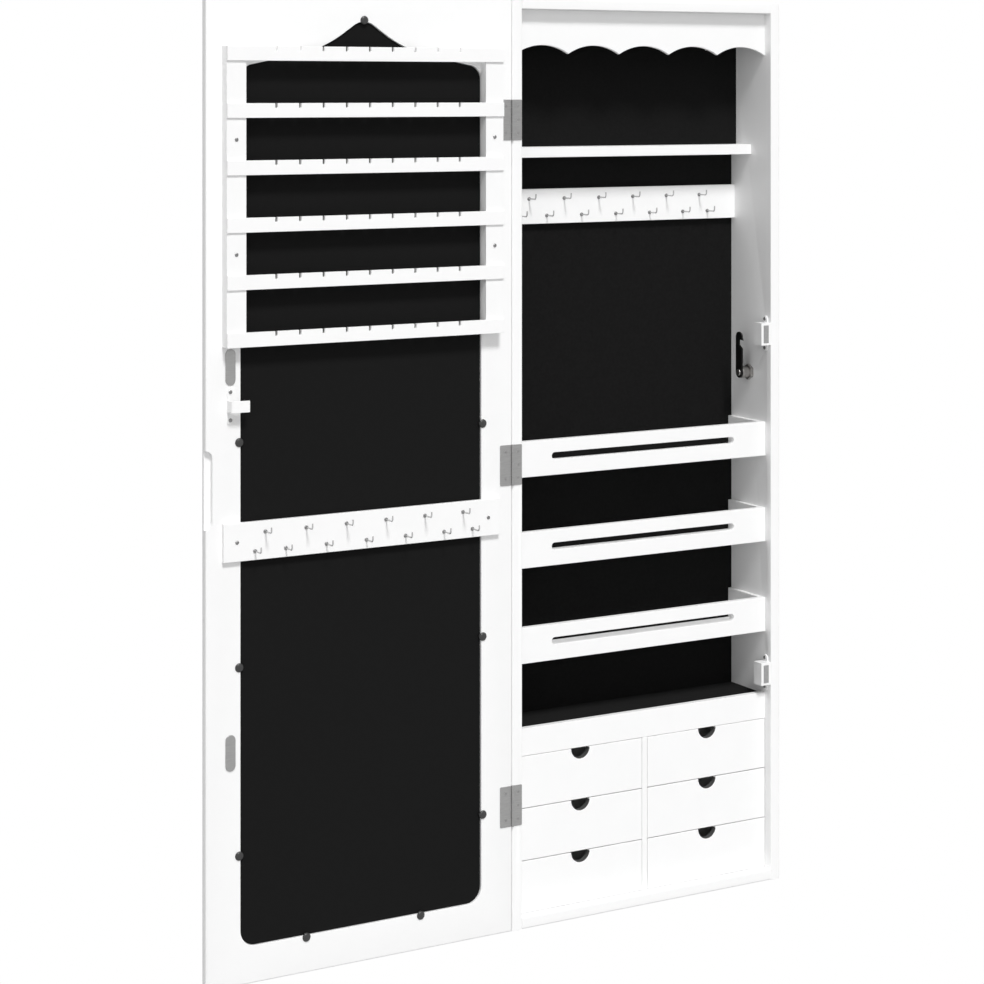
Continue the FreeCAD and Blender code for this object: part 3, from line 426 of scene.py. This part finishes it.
def shelf_rails():
    """The shelves' front rails, each with one long slot."""
    slot_rise, slot_width, slot_height = 22, 256, 8
    for node in ("upper_shelf_rail", "middle_shelf_rail", "lower_shelf_rail"):
        lo, hi = corners_of(node)
        slot = round_end((lo.x + hi.x) / 2, lo.z + slot_rise, slot_width, slot_height)
        front_board(node, [rectangle(lo.x, lo.z, hi.x - lo.x, hi.z - lo.z), slot])


def paint_cut_out_shade(board, centre, limit):
    """Paint shade onto the faces round a finger cut-out that are nearer its centre than the limit:
    a dark grey that stands in for the shade inside the recess.
    """
    board.data.materials.append(FINISH["drawer_rim"])
    for face in board.data.polygons:
        away = face.center - centre
        away.y = 0
        sideways = abs(face.normal.y) < 0.5
        if away.length < limit and sideways and away.z < -MM:
            face.material_index = 1


def drawers():
    """Fronts with a half-round finger cut-out, and the boxes behind them."""
    reach, margin, drawer_count = 12.5, 0.3, 6
    for n in range(1, drawer_count + 1):
        node = "drawer_%d_front" % n
        lo, hi = corners_of(node)
        mid = (lo.x + hi.x) / 2
        board = front_board(node, [outline([
            (lo.x, lo.z), (hi.x, lo.z), (hi.x, hi.z), (mid + reach, hi.z),
            (mid, hi.z - reach, reach, -1), (mid - reach, hi.z, reach, -1), (lo.x, hi.z)])])
        # The cut-out's rim is painted dark grey, as painted shade of the recess.
        paint_cut_out_shade(board, Vector((mid, 0, hi.z)) * MM, (reach + margin) * MM)
        eased_copy("drawer_%d_box" % n, 0.4)


def arch(inset):
    """The door's ogee opening: shoulder, long flank, throat, steep run and crown."""
    arc_steps = 14
    flank_slope, steep_slope, steep_run = 0.2, 0.7, 15.5
    flank_cos, steep_cos = 1 / math.hypot(1, flank_slope), 1 / math.hypot(1, steep_slope)
    flank_sin, steep_sin = flank_slope * flank_cos, steep_slope * steep_cos
    half = CAB_WIDTH / 2 - STILE - inset
    crown, throat, shoulder, corner = CROWN - inset, 146 + inset, 16 - inset, 18 - inset
    low = STILE + inset
    x1, z1 = crown * steep_sin, ARCH_TOP - CROWN + crown * steep_cos
    x2, z2 = x1 + steep_run * steep_cos, z1 - steep_run * steep_sin
    x3, z3 = x2 + throat * (steep_sin - flank_sin), z2 - throat * (flank_cos - steep_cos)
    x4 = half - shoulder + shoulder * flank_sin
    z4 = z3 - (x4 - x3) * flank_slope
    z5 = z4 - shoulder * flank_cos
    m = DOOR_MID
    return outline([
        (m - half + corner, low, corner, 1), (m + half - corner, low),
        (m + half, low + corner, corner, 1), (m + half, z5), (m + x4, z4, shoulder, 1),
        (m + x3, z3), (m + x2, z2, throat, -1), (m + x1, z1), (m - x1, z1, crown, 1),
        (m - x2, z2), (m - x3, z3, throat, -1), (m - x4, z4), (m - half, z5, shoulder, 1),
        (m - half, low + corner)], arc_steps)


def door_frame():
    """Rounded outer edges, a rebated ogee opening and a finger pull in the free edge."""
    bm = bmesh.new()
    back, rebate, round_, round_steps = -76.0, -78.5, 2.0, 5
    rebate_width, ease, back_ease = 8, 0.5, 0.4

    def rings(rows, loop):
        """Closed rings at the rows' insets and levels, with faces between them."""
        made = [[bm.verts.new((u, y, v)) for u, v in loop(inset)] for inset, y in rows]
        for ring, following in zip(made, made[1:]):
            bridge(bm, ring, following)
        return made

    def edge(inset):
        """The door's outer edge, moved inwards."""
        return rectangle(DOOR_FREE + inset, inset, CAB_WIDTH - 2 * inset, CAB_HEIGHT - 2 * inset)

    turns = [math.pi / 2 * k / round_steps for k in range(round_steps + 1)]
    bends = [(round_ * (1 - math.sin(a)), round_ * (1 - math.cos(a))) for a in turns]
    outer = rings([(inset, FRONT + depth) for inset, depth in bends]
                  + [(inset, back - depth) for inset, depth in reversed(bends)], edge)
    inner = rings([(-ease, FRONT), (-0.15, FRONT + 0.15), (0, FRONT + ease), (0, rebate),
                   (rebate_width, rebate), (rebate_width, back - back_ease),
                   (rebate_width - back_ease, back)], arch)
    for ends in ((outer[0], inner[0]), (outer[-1], inner[-1])):
        around = [bm.edges.get((ring[k - 1], ring[k])) for ring in ends for k in range(len(ring))]
        bmesh.ops.triangle_fill(bm, edges=around, use_beauty=True)
    pull = bmesh.new()
    r, low, high, depth, beyond = 7.6, 488.0, 572.0, 6, 3
    prism(pull, outline([
        (DOOR_FREE - beyond, low), (DOOR_FREE, low), (DOOR_FREE + r, low + r, r, 1),
        (DOOR_FREE + r, high - r), (DOOR_FREE, high, r, 1), (DOOR_FREE - beyond, high)]),
        "XZ", FRONT - beyond, depth + beyond)
    piece(cut(bm, pull), "door_frame_board", "door_frame")


def door_panels():
    """The backing board and the mirror, cut to the opening's shape."""
    for node in ("backing_board", "mirror"):
        lo, hi = corners_of(node)
        bm = bmesh.new()
        slab(bm, [arch(0.5)], "XZ", lo.y, hi.y - lo.y, 0.2)
        piece(bm, node + "_panel", node)


def earring_rails():
    """Six strips with round-bottomed notches in their upper edges."""
    lo, hi = corners_of("earring_rails")
    bm = bmesh.new()
    rail_count, rail_pitch, rail_height = 6, 60.9, 15.6
    count, pitch, r, depth = 9, 28.0, 1.4, 5.4
    for i in range(rail_count):
        low = lo.z + i * rail_pitch
        high = low + rail_height
        corners = [(lo.x, low), (hi.x, low), (hi.x, high)]
        for k in range(count):
            x = DOOR_MID + ((count - 1) / 2 - k) * pitch
            floor = high - depth + r
            corners += [(x + r, high), (x + r, floor), (x - r, floor, r, -1), (x - r, high)]
        slab(bm, [outline(corners + [(lo.x, high)])], "XZ", lo.y, hi.y - lo.y, 0.3)
    piece(bm, "earring_rails_slotted", "earring_rails")


# ---------------------------------------------------------------- fittings

COLLAR = [(0, 0), (2.2, 0), (2.2, 0.55), (2.0, 0.9), (1.6, 1.12), (1.0, 1.2), (0, 1.2)]


def hooks(node, board_node, middle):
    """Wire hooks with turned collars: six above, seven below."""
    lo, _ = corners_of(board_node)
    front = lo.y
    upper, lower, pitch, end = lo.z + 29.6, lo.z + 9.6, 48.4, 133.0
    places = [(middle + (k - 2.5) * pitch, upper) for k in range(6)]
    places += [(middle + (k - 2) * pitch, lower) for k in range(5)]
    places += [(middle - end, lower), (middle + end, lower)]
    wire, reach, bend, rise, sunk, straight, bend_steps = 0.8, 16.0, 3.0, 6.5, 0.4, 6, 8
    paths = []
    for x, z in places:
        arc = [(x, front - reach + bend - bend * math.sin(a), z + bend - bend * math.cos(a))
               for a in (math.pi / 2 * k / bend_steps for k in range(bend_steps + 1))]
        paths.append([(x, front + sunk, z), (x, front - straight, z)] + arc
                     + [(x, front - reach, z + rise)])
    bm = bmesh.new()
    bm.from_mesh(wires(paths, wire))
    wire_faces = len(bm.faces)
    for x, z in places:
        lathe(bm, COLLAR, (x, front, z), (0, -1, 0))
    bm.faces.ensure_lookup_table()
    for facet in bm.faces[wire_faces:]:
        facet.material_index = 1
    piece(bm, node + "_wire", node, finishes=(FINISH["hook_metal"], FINISH["screw_steel"]))


def plus(u, v, reach, half):
    """A cross, for the recess of a screw."""
    r, h = reach, half
    return [(u + a, v + b) for a, b in (
        (r, -h), (r, h), (h, h), (h, r), (-h, r), (-h, h),
        (-r, h), (-r, -h), (-h, -h), (-h, -r), (h, -r), (h, -h))]


# Half outlines of screws: radius, and height over the face that the head lies on.
PAN = [(0, -4.9), (1.1, -4.9), (1.1, 0), (2.1, 0), (2.1, 0.35), (1.95, 0.72), (1.55, 1.0),
       (0.9, 1.16), (0, 1.2)]
FLUSH = [(0, -4.9), (1.1, -4.9), (1.1, 0), (1.7, 0.7), (1.7, 0.78), (1.2, 0.83), (0, 0.85)]


def screws(node, profile, plane, places):
    """Turned screws with a cross recess; places give the face and the two other places."""
    bm, cutter = bmesh.new(), bmesh.new()
    top, cross_reach, cross_half, recess, over = profile[-1][1], 1.15, 0.24, 0.5, 0.5
    for level, u, v in places:
        if plane == "XZ":
            lathe(bm, profile, (u, level, v), (0, -1, 0))
        else:
            lathe(bm, profile, (level, u, v), (-1, 0, 0))
        prism(cutter, plus(u, v, cross_reach, cross_half), plane, level - top - over,
              recess + over)
    piece(cut(bm, cutter), node + "_turned", node)


CABINET_LEAF = {"side": 1, "reach": 12.4, "first_knuckle": 0, "screw_at": 7.15,
                "screw_rows": (-1, 0, 1)}
DOOR_LEAF = {"side": -1, "reach": 16.1, "first_knuckle": 1, "screw_at": 9.0,
             "screw_rows": (-1, 1)}


def leaf_screw_places(leaf, centre):
    """Where the screws of one leaf are, as x and z."""
    x = HINGE_X + leaf["side"] * leaf["screw_at"]
    return [(x, centre + k * LEAF_SCREW_PITCH) for k in leaf["screw_rows"]]


def all_screws():
    """The screws of the rack, the door's hook board, the bracket, the catches and the hinges."""
    post_inset, post_out, post_rows = 11.3, 12.6, (780, 902)
    board_inset, board_out, board_row = 15.3, 5, 473.5
    rack = (DOOR_MID - RACK_HALF, DOOR_MID + RACK_HALF)
    post_x, board_x = [(rack[0] + inset, rack[1] - inset) for inset in (post_inset, board_inset)]
    on_posts = [(FRONT - post_out, x, z) for x in post_x for z in post_rows]
    on_board = [(FRONT - board_out, x, board_row) for x in board_x]
    on_bracket = [(FRONT - BRACKET_SHEET, BRACKET_X + BRACKET_HALF, BRACKET_Z + k * BRACKET_SCREWS)
                  for k in (-1, 1)]
    screws("door_screws", PAN, "XZ", on_posts + on_board + on_bracket)
    screws("catch_screws", PAN, "YZ", [(INNER_RIGHT - CATCH_EAR, CATCH_Y, z + k * CATCH_SCREWS)
                                       for z in CATCHES for k in (-1, 1)])
    for node, leaf in (("cabinet_leaf_screws", CABINET_LEAF), ("door_leaf_screws", DOOR_LEAF)):
        screws(node, FLUSH, "XZ", [(FRONT, x, z) for centre in HINGES
                                   for x, z in leaf_screw_places(leaf, centre)])


def hinge_leaves(node, leaf):
    """A leaf with round-cornered ends and screw holes, rolled into smooth knuckles."""
    bm = bmesh.new()
    side, height, knuckles, gap = leaf["side"], LEAF_HEIGHT, 5, 0.3
    thick, ease, r, screw_hole = 0.85, 0.15, 1.2, 1.78
    plate_from, roll_from, roll_to = 1.62, 1.05, 2.1
    bore, radius, end_radius, bevel = 0.86, 1.5, 1.36, 0.14
    knuckle = (height - (knuckles - 1) * gap) / knuckles
    for centre in HINGES:
        near, far = sorted((HINGE_X + side * plate_from, HINGE_X + side * leaf["reach"]))
        low, high = centre - height / 2, centre + height / 2
        if side > 0:
            loop = [(near, low), (far - r, low), (far, low + r, r, 1), (far, high - r),
                    (far - r, high, r, 1), (near, high)]
        else:
            loop = [(far, low), (far, high), (near + r, high), (near, high - r, r, 1),
                    (near, low + r), (near + r, low, r, 1)]
        holes = [circle(x, z, screw_hole) for x, z in leaf_screw_places(leaf, centre)]
        slab(bm, [outline(loop)] + holes, "XZ", FRONT - thick, thick, ease)
        for k in range(leaf["first_knuckle"], knuckles, 2):
            z = low + k * (knuckle + gap)
            lathe(bm, [(bore, 0), (end_radius, 0), (radius, bevel), (radius, knuckle - bevel),
                       (end_radius, knuckle), (bore, knuckle)], (HINGE_X, HINGE_Y, z),
                  (0, 0, 1), 26, closed=True)
            a, b = sorted((HINGE_X + side * roll_from, HINGE_X + side * roll_to))
            prism(bm, rectangle(a, z, b - a, knuckle), "XZ", FRONT - thick, thick)
    piece(bm, node + "_rolled", node)


def hinge_pins():
    """Pins with chamfered ends, as long as the leaves."""
    bm = bmesh.new()
    radius, end_radius, chamfer = 0.8, 0.6, 0.25
    for centre in HINGES:
        lathe(bm, [(0, 0), (end_radius, 0), (radius, chamfer), (radius, LEAF_HEIGHT - chamfer),
                   (end_radius, LEAF_HEIGHT), (0, LEAF_HEIGHT)],
              (HINGE_X, HINGE_Y, centre - LEAF_HEIGHT / 2), (0, 0, 1), 20)
    piece(bm, "hinge_pins_turned", "hinge_pins")


CLIP_CAP = [(0, 0), (4.55, 0), (4.8, 0.25), (4.8, 0.5)] + dome(4.62, 0.62, 1.78, 8)
CLIP_FOOT = [(0, -2.5), (1.0, -2.5), (1.2, -2.3), (1.2, 0.1), (0, 0.1)]


def backing_clips():
    """Glossy domed caps on the frame, each with a foot that bears on the backing board."""
    out, foot, clear, spread, rows = 1.7, 2.4, 0.5, 70, (138.4, 339, 579)
    half, reach = CAB_WIDTH / 2 - STILE, out + foot / 2 + clear
    places = [(DOOR_MID, ARCH_TOP + out, 0, -1)]
    places += [(DOOR_MID + side * spread, STILE - out, 0, 1) for side in (-1, 1)]
    places += [(DOOR_MID + side * (half + out), z, -side, 0) for side in (-1, 1) for z in rows]
    bm = bmesh.new()
    for x, z, u, w in places:
        lathe(bm, CLIP_CAP, (x, FRONT, z), (0, -1, 0), 36)
        lathe(bm, CLIP_FOOT, (x + u * reach, FRONT, z + w * reach), (0, -1, 0), 20)
    piece(bm, "backing_clips_domed", "backing_clips", sharp=0.8)


def strike_plates():
    """Two round-ended steel plates that the magnets draw to themselves."""
    bm = bmesh.new()
    inset, width, height, thick, ease = 28, 11.4, 38.5, 1.3, 0.35
    for z in CATCHES:
        slab(bm, [round_end(DOOR_FREE + inset, z, width, height)], "XZ", FRONT - thick, thick,
             ease, 2)
    piece(bm, "strike_plates_round", "strike_plates")


def strike_bracket():
    """A folded strip: a round-ended base, a leg and the tab that the cam hooks."""
    bm = bmesh.new()
    sheet, ease, sunk, hole, base_height = BRACKET_SHEET, 0.25, 0.3, 1.25, 40
    tab_height, tab_out, tab_end = 12.4, 13, 21.2
    a, base, out = BRACKET_X, FRONT - sheet, FRONT - tab_out
    middle, bend = a + BRACKET_HALF, 2 * sheet
    holes = [circle(middle, BRACKET_Z + k * BRACKET_SCREWS, hole, 18) for k in (-1, 1)]
    slab(bm, [round_end(middle, BRACKET_Z, 2 * BRACKET_HALF, base_height)] + holes, "XZ", base,
         sheet, ease)
    strip = outline([(a, base + sunk), (a, out + bend), (a + bend, out, bend, 1),
                     (a + tab_end, out), (a + tab_end, out + sheet), (a + bend, out + sheet),
                     (a + sheet, out + bend, sheet, -1), (a + sheet, base + sunk)])
    slab(bm, [strip], "XY", BRACKET_Z - tab_height / 2, tab_height, ease)
    piece(bm, "strike_bracket_folded", "strike_bracket")


def magnet_catches():
    """A box that holds the magnet, on a round-ended plate with two screws."""
    bm, magnets = bmesh.new(), bmesh.new()
    width, depth, height = 14.0, 16.0, 27.0
    mouth_width, mouth_height, mouth_depth, overlap = 7, 21, 9.0, 0.4
    proud, slack, magnet_depth = 0.6, 0.05, 9.4
    plate_width, plate_height, hole, ease = 10, 43, 1.25, 0.4
    x, wall = INNER_RIGHT - width, (width - mouth_width) / 2
    for z in CATCHES:
        holes = [circle(CATCH_Y, z + k * CATCH_SCREWS, hole, 18) for k in (-1, 1)]
        slab(bm, [round_end(CATCH_Y, z, plate_width, plate_height)] + holes, "YZ",
             INNER_RIGHT - CATCH_EAR, CATCH_EAR, 0.35)
        mouth = rectangle(x + wall, z - mouth_height / 2, mouth_width, mouth_height)
        magnet = rectangle(x + wall + slack, z - mouth_height / 2 + slack,
                           mouth_width - 2 * slack, mouth_height - 2 * slack)
        box = rectangle(x, z - height / 2, width, height)
        slab(bm, [box, mouth], "XZ", FRONT, mouth_depth, ease)
        slab(bm, [box], "XZ", FRONT + mouth_depth - overlap, depth - mouth_depth + overlap, ease)
        slab(magnets, [magnet], "XZ", FRONT - proud, magnet_depth, 0.3)
    piece(bm, "magnet_catches_moulded", "magnet_catches")
    piece(magnets, "catch_magnets_block", "catch_magnets")


LOCK_AXIS = (0, LOCK_Y, LOCK_Z)


def lock_barrel():
    """The flanged barrel through the side board, and the hexagon nut that holds it."""
    inner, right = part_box("lock_body")[0].x / MM, CAB_WIDTH / 2
    bore, barrel, flange, cap, chamfer = 5.08, 7, 9.5, 1.6, 0.3
    bm = bmesh.new()
    lathe(bm, [(bore, inner), (barrel - 0.2, inner), (barrel, inner + chamfer), (barrel, right),
               (flange, right), (flange, right + 0.7), (flange - 0.4, right + cap - chamfer),
               (flange - 1.2, right + cap), (5.5, right + cap), (bore, right + cap - chamfer)],
          LOCK_AXIS, (1, 0, 0), 44, closed=True)
    piece(bm, "lock_body_turned", "lock_body")
    lo, hi = corners_of("lock_nut")
    corner, thread, ease = 9.7, 7.1, 0.5
    hexagon = [(LOCK_Y + corner * math.sin(a), LOCK_Z - corner * math.cos(a))
               for a in (math.pi / 3 * k for k in range(6))]
    bm = bmesh.new()
    slab(bm, [hexagon, circle(LOCK_Y, LOCK_Z, thread, 40)], "YZ", lo.x, hi.x - lo.x, ease)
    piece(bm, "lock_nut_chamfered", "lock_nut")


def lock_plug():
    """The plug with its key slot, and the screw that holds the cam on it."""
    lo, hi = corners_of("lock_plug")
    stub_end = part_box("lock_cam")[1].x / MM
    stub, plug, chamfer = 2.6, 5, 0.3
    slot_width, slot_height, slot_depth, beyond = 1.2, 6.4, 4, 1
    bm, key = bmesh.new(), bmesh.new()
    lathe(bm, [(0, lo.x), (stub, lo.x), (stub, stub_end), (plug, stub_end),
               (plug, hi.x - chamfer), (plug - chamfer, hi.x), (0, hi.x)],
          LOCK_AXIS, (1, 0, 0), 36)
    prism(key, rectangle(LOCK_Y - slot_width / 2, LOCK_Z - slot_height / 2, slot_width,
                         slot_height), "YZ", hi.x - slot_depth, slot_depth + beyond)
    piece(cut(bm, key), "lock_plug_slotted", "lock_plug")
    lo, hi = corners_of("cam_screw")
    head = [(0, 0), (4, 0), (4, 0.7), (3.8, 1.15), (3.2, 1.5), (2.2, 1.72), (0, 1.8)]
    cross_reach, cross_half, recess = 2.2, 0.4, 0.9
    bm, cross = bmesh.new(), bmesh.new()
    lathe(bm, head, (hi.x, LOCK_Y, LOCK_Z), (-1, 0, 0), 32)
    prism(cross, plus(LOCK_Y, LOCK_Z, cross_reach, cross_half), "YZ", lo.x - beyond,
          recess + beyond)
    piece(cut(bm, cross), "cam_screw_head", "cam_screw")


def lock_cam():
    """The hooked cam: a bar with round ends, and a notch in its front edge under the hook."""
    lo, hi = corners_of("lock_cam")
    y, z, w = LOCK_Y, LOCK_Z, 6.5
    length, notch_low, notch_high, deep, lip, hole = 49.5, 29.5, 40.5, 6.0, 1.8, 2.65
    tip = z + length
    bm = bmesh.new()
    slab(bm, [outline([
        (y, z - w, w, 1), (y + w, z, w, 1), (y + w, tip - w), (y, tip, w, 1),
        (y - w, tip - w, w, 1), (y - w - lip, z + notch_high - 1),
        (y - w + deep, z + notch_high), (y - w + deep, z + notch_low + deep * 0.75),
        (y - w, z + notch_low), (y - w, z)]),
        circle(y, z, hole, 20)], "YZ", lo.x, hi.x - lo.x, 0.25)
    piece(bm, "lock_cam_pressed", "lock_cam")


# ---------------------------------------------------------------- the cabinet's pieces

for board in EASED_BOARDS:
    eased_copy(board)
valance_board()
shelf_rails()
drawers()
door_frame()
door_panels()
earring_rails()
hooks("cabinet_hooks", "cabinet_hook_board", 0.0)
hooks("door_hooks", "door_hook_board", DOOR_MID)
all_screws()
hinge_leaves("hinge_cabinet_leaves", CABINET_LEAF)
hinge_leaves("hinge_door_leaves", DOOR_LEAF)
hinge_pins()
backing_clips()
strike_plates()
strike_bracket()
magnet_catches()
lock_barrel()
lock_plug()
lock_cam()


# ---------------------------------------------------------------- floor, light and camera

# In metres. The floor's own tone is low, so that it throws little light up; the rays that are
# seen get white, which fades in from the object outwards.
AMBIENT, WHITE = 0.46, (1, 1, 1, 1)
FLOOR_Z, FLOOR_HALF, FLOOR_MID_X, FLOOR_TONE = -0.6, 12, -0.19, (0.42, 0.42, 0.42, 1)
FLOOR_FADE = {"From Min": 0.3, "From Max": 1.3, "To Min": 0.75, "To Max": 1.0}
LAMP_DISTANCE = 4
LENS, SENSOR, SHIFT = 88.74, 36.0, -0.4073
EYE, EYE_TURN = (-1.5755, -2.4634, 0.9533), -29.808


def sum_of(tree, *values):
    """The values added up, and kept at 1 or below."""
    total = values[0]
    for value in values[1:]:
        add = tree.nodes.new("ShaderNodeMath")
        add.operation, add.use_clamp = "ADD", True
        tree.links.new(total, add.inputs[0])
        tree.links.new(value, add.inputs[1])
        total = add.outputs["Value"]
    return total


def seen_rays(tree):
    """1 for the rays that show the background: camera, glossy and transmission rays."""
    path = tree.nodes.new("ShaderNodeLightPath")
    return sum_of(tree, path.outputs["Is Camera Ray"], path.outputs["Is Glossy Ray"],
                  path.outputs["Is Transmission Ray"])


def world():
    """Even light from all round, and plain white where the rays show the background."""
    made = bpy.data.worlds.new("studio")
    bpy.context.scene.world = made
    made.use_nodes = True
    tree = made.node_tree
    dim = tree.nodes["Background"]
    dim.inputs["Color"].default_value = WHITE
    dim.inputs["Strength"].default_value = AMBIENT
    white = tree.nodes.new("ShaderNodeBackground")
    white.inputs["Color"].default_value = WHITE
    mix = tree.nodes.new("ShaderNodeMixShader")
    tree.links.new(seen_rays(tree), mix.inputs["Fac"])
    tree.links.new(dim.outputs["Background"], mix.inputs[1])
    tree.links.new(white.outputs["Background"], mix.inputs[2])
    tree.links.new(mix.outputs["Shader"], tree.nodes["World Output"].inputs["Surface"])


def floor():
    """A pale floor that keeps the shadow below the cabinet and fades to white around it."""
    bm = bmesh.new()
    bmesh.ops.create_grid(bm, x_segments=8, y_segments=8, size=FLOOR_HALF)
    mesh = bpy.data.meshes.new("floor")
    bm.to_mesh(mesh)
    bm.free()
    ground = bpy.data.objects.new("floor", mesh)
    ground.location = (FLOOR_MID_X, 0, FLOOR_Z)
    bpy.context.scene.collection.objects.link(ground)
    material = bpy.data.materials.new("pale_floor")
    material.use_nodes = True
    tree = material.node_tree
    shader = tree.nodes["Principled BSDF"]
    shader.inputs["Base Color"].default_value = FLOOR_TONE
    shader.inputs["Roughness"].default_value = 0.9
    shader.inputs["Specular IOR Level"].default_value = 0.1
    glow = tree.nodes.new("ShaderNodeEmission")
    place = tree.nodes.new("ShaderNodeTexCoord")
    length = tree.nodes.new("ShaderNodeVectorMath")
    length.operation = "LENGTH"
    fade = tree.nodes.new("ShaderNodeMapRange")
    for name, value in FLOOR_FADE.items():
        fade.inputs[name].default_value = value
    times = tree.nodes.new("ShaderNodeMath")
    times.operation = "MULTIPLY"
    mix = tree.nodes.new("ShaderNodeMixShader")
    tree.links.new(place.outputs["Object"], length.inputs[0])
    tree.links.new(length.outputs["Value"], fade.inputs["Value"])
    tree.links.new(fade.outputs["Result"], times.inputs[0])
    tree.links.new(seen_rays(tree), times.inputs[1])
    tree.links.new(times.outputs["Value"], mix.inputs["Fac"])
    tree.links.new(shader.outputs["BSDF"], mix.inputs[1])
    tree.links.new(glow.outputs["Emission"], mix.inputs[2])
    tree.links.new(mix.outputs["Shader"], tree.nodes["Material Output"].inputs["Surface"])
    mesh.materials.append(material)


def sun(name, travel, strength, angle, mirrored=True):
    """A lamp whose light travels that way; its disc shows in glossy surfaces if mirrored."""
    lamp = bpy.data.lights.new(name, "SUN")
    lamp.energy, lamp.angle = strength, math.radians(angle)
    thing = bpy.data.objects.new(name, lamp)
    thing.rotation_mode = "QUATERNION"
    thing.rotation_quaternion = Vector(travel).to_track_quat("-Z", "Y")
    thing.location = Vector(travel).normalized() * -LAMP_DISTANCE
    thing.visible_glossy = mirrored
    bpy.context.scene.collection.objects.link(thing)


def camera():
    """A level camera, shifted down, so that upright edges stay parallel as in the photograph."""
    eye = bpy.data.cameras.new("camera")
    eye.lens, eye.sensor_width, eye.shift_y = LENS, SENSOR, SHIFT
    thing = bpy.data.objects.new("camera", eye)
    thing.location = EYE
    thing.rotation_euler = (math.pi / 2, 0, math.radians(EYE_TURN))
    bpy.context.scene.collection.objects.link(thing)
    bpy.context.scene.camera = thing


world()
floor()
sun("front_soft", (0.45, 1, -0.1), 0.58, 60, mirrored=False)
sun("upper_key", (0.14, 1, -1.27), 2.3, 12)
sun("rear_fill", (-0.2, -1, -0.3), 0.9, 50, mirrored=False)
camera()
bpy.context.scene.view_settings.view_transform = "Standard"
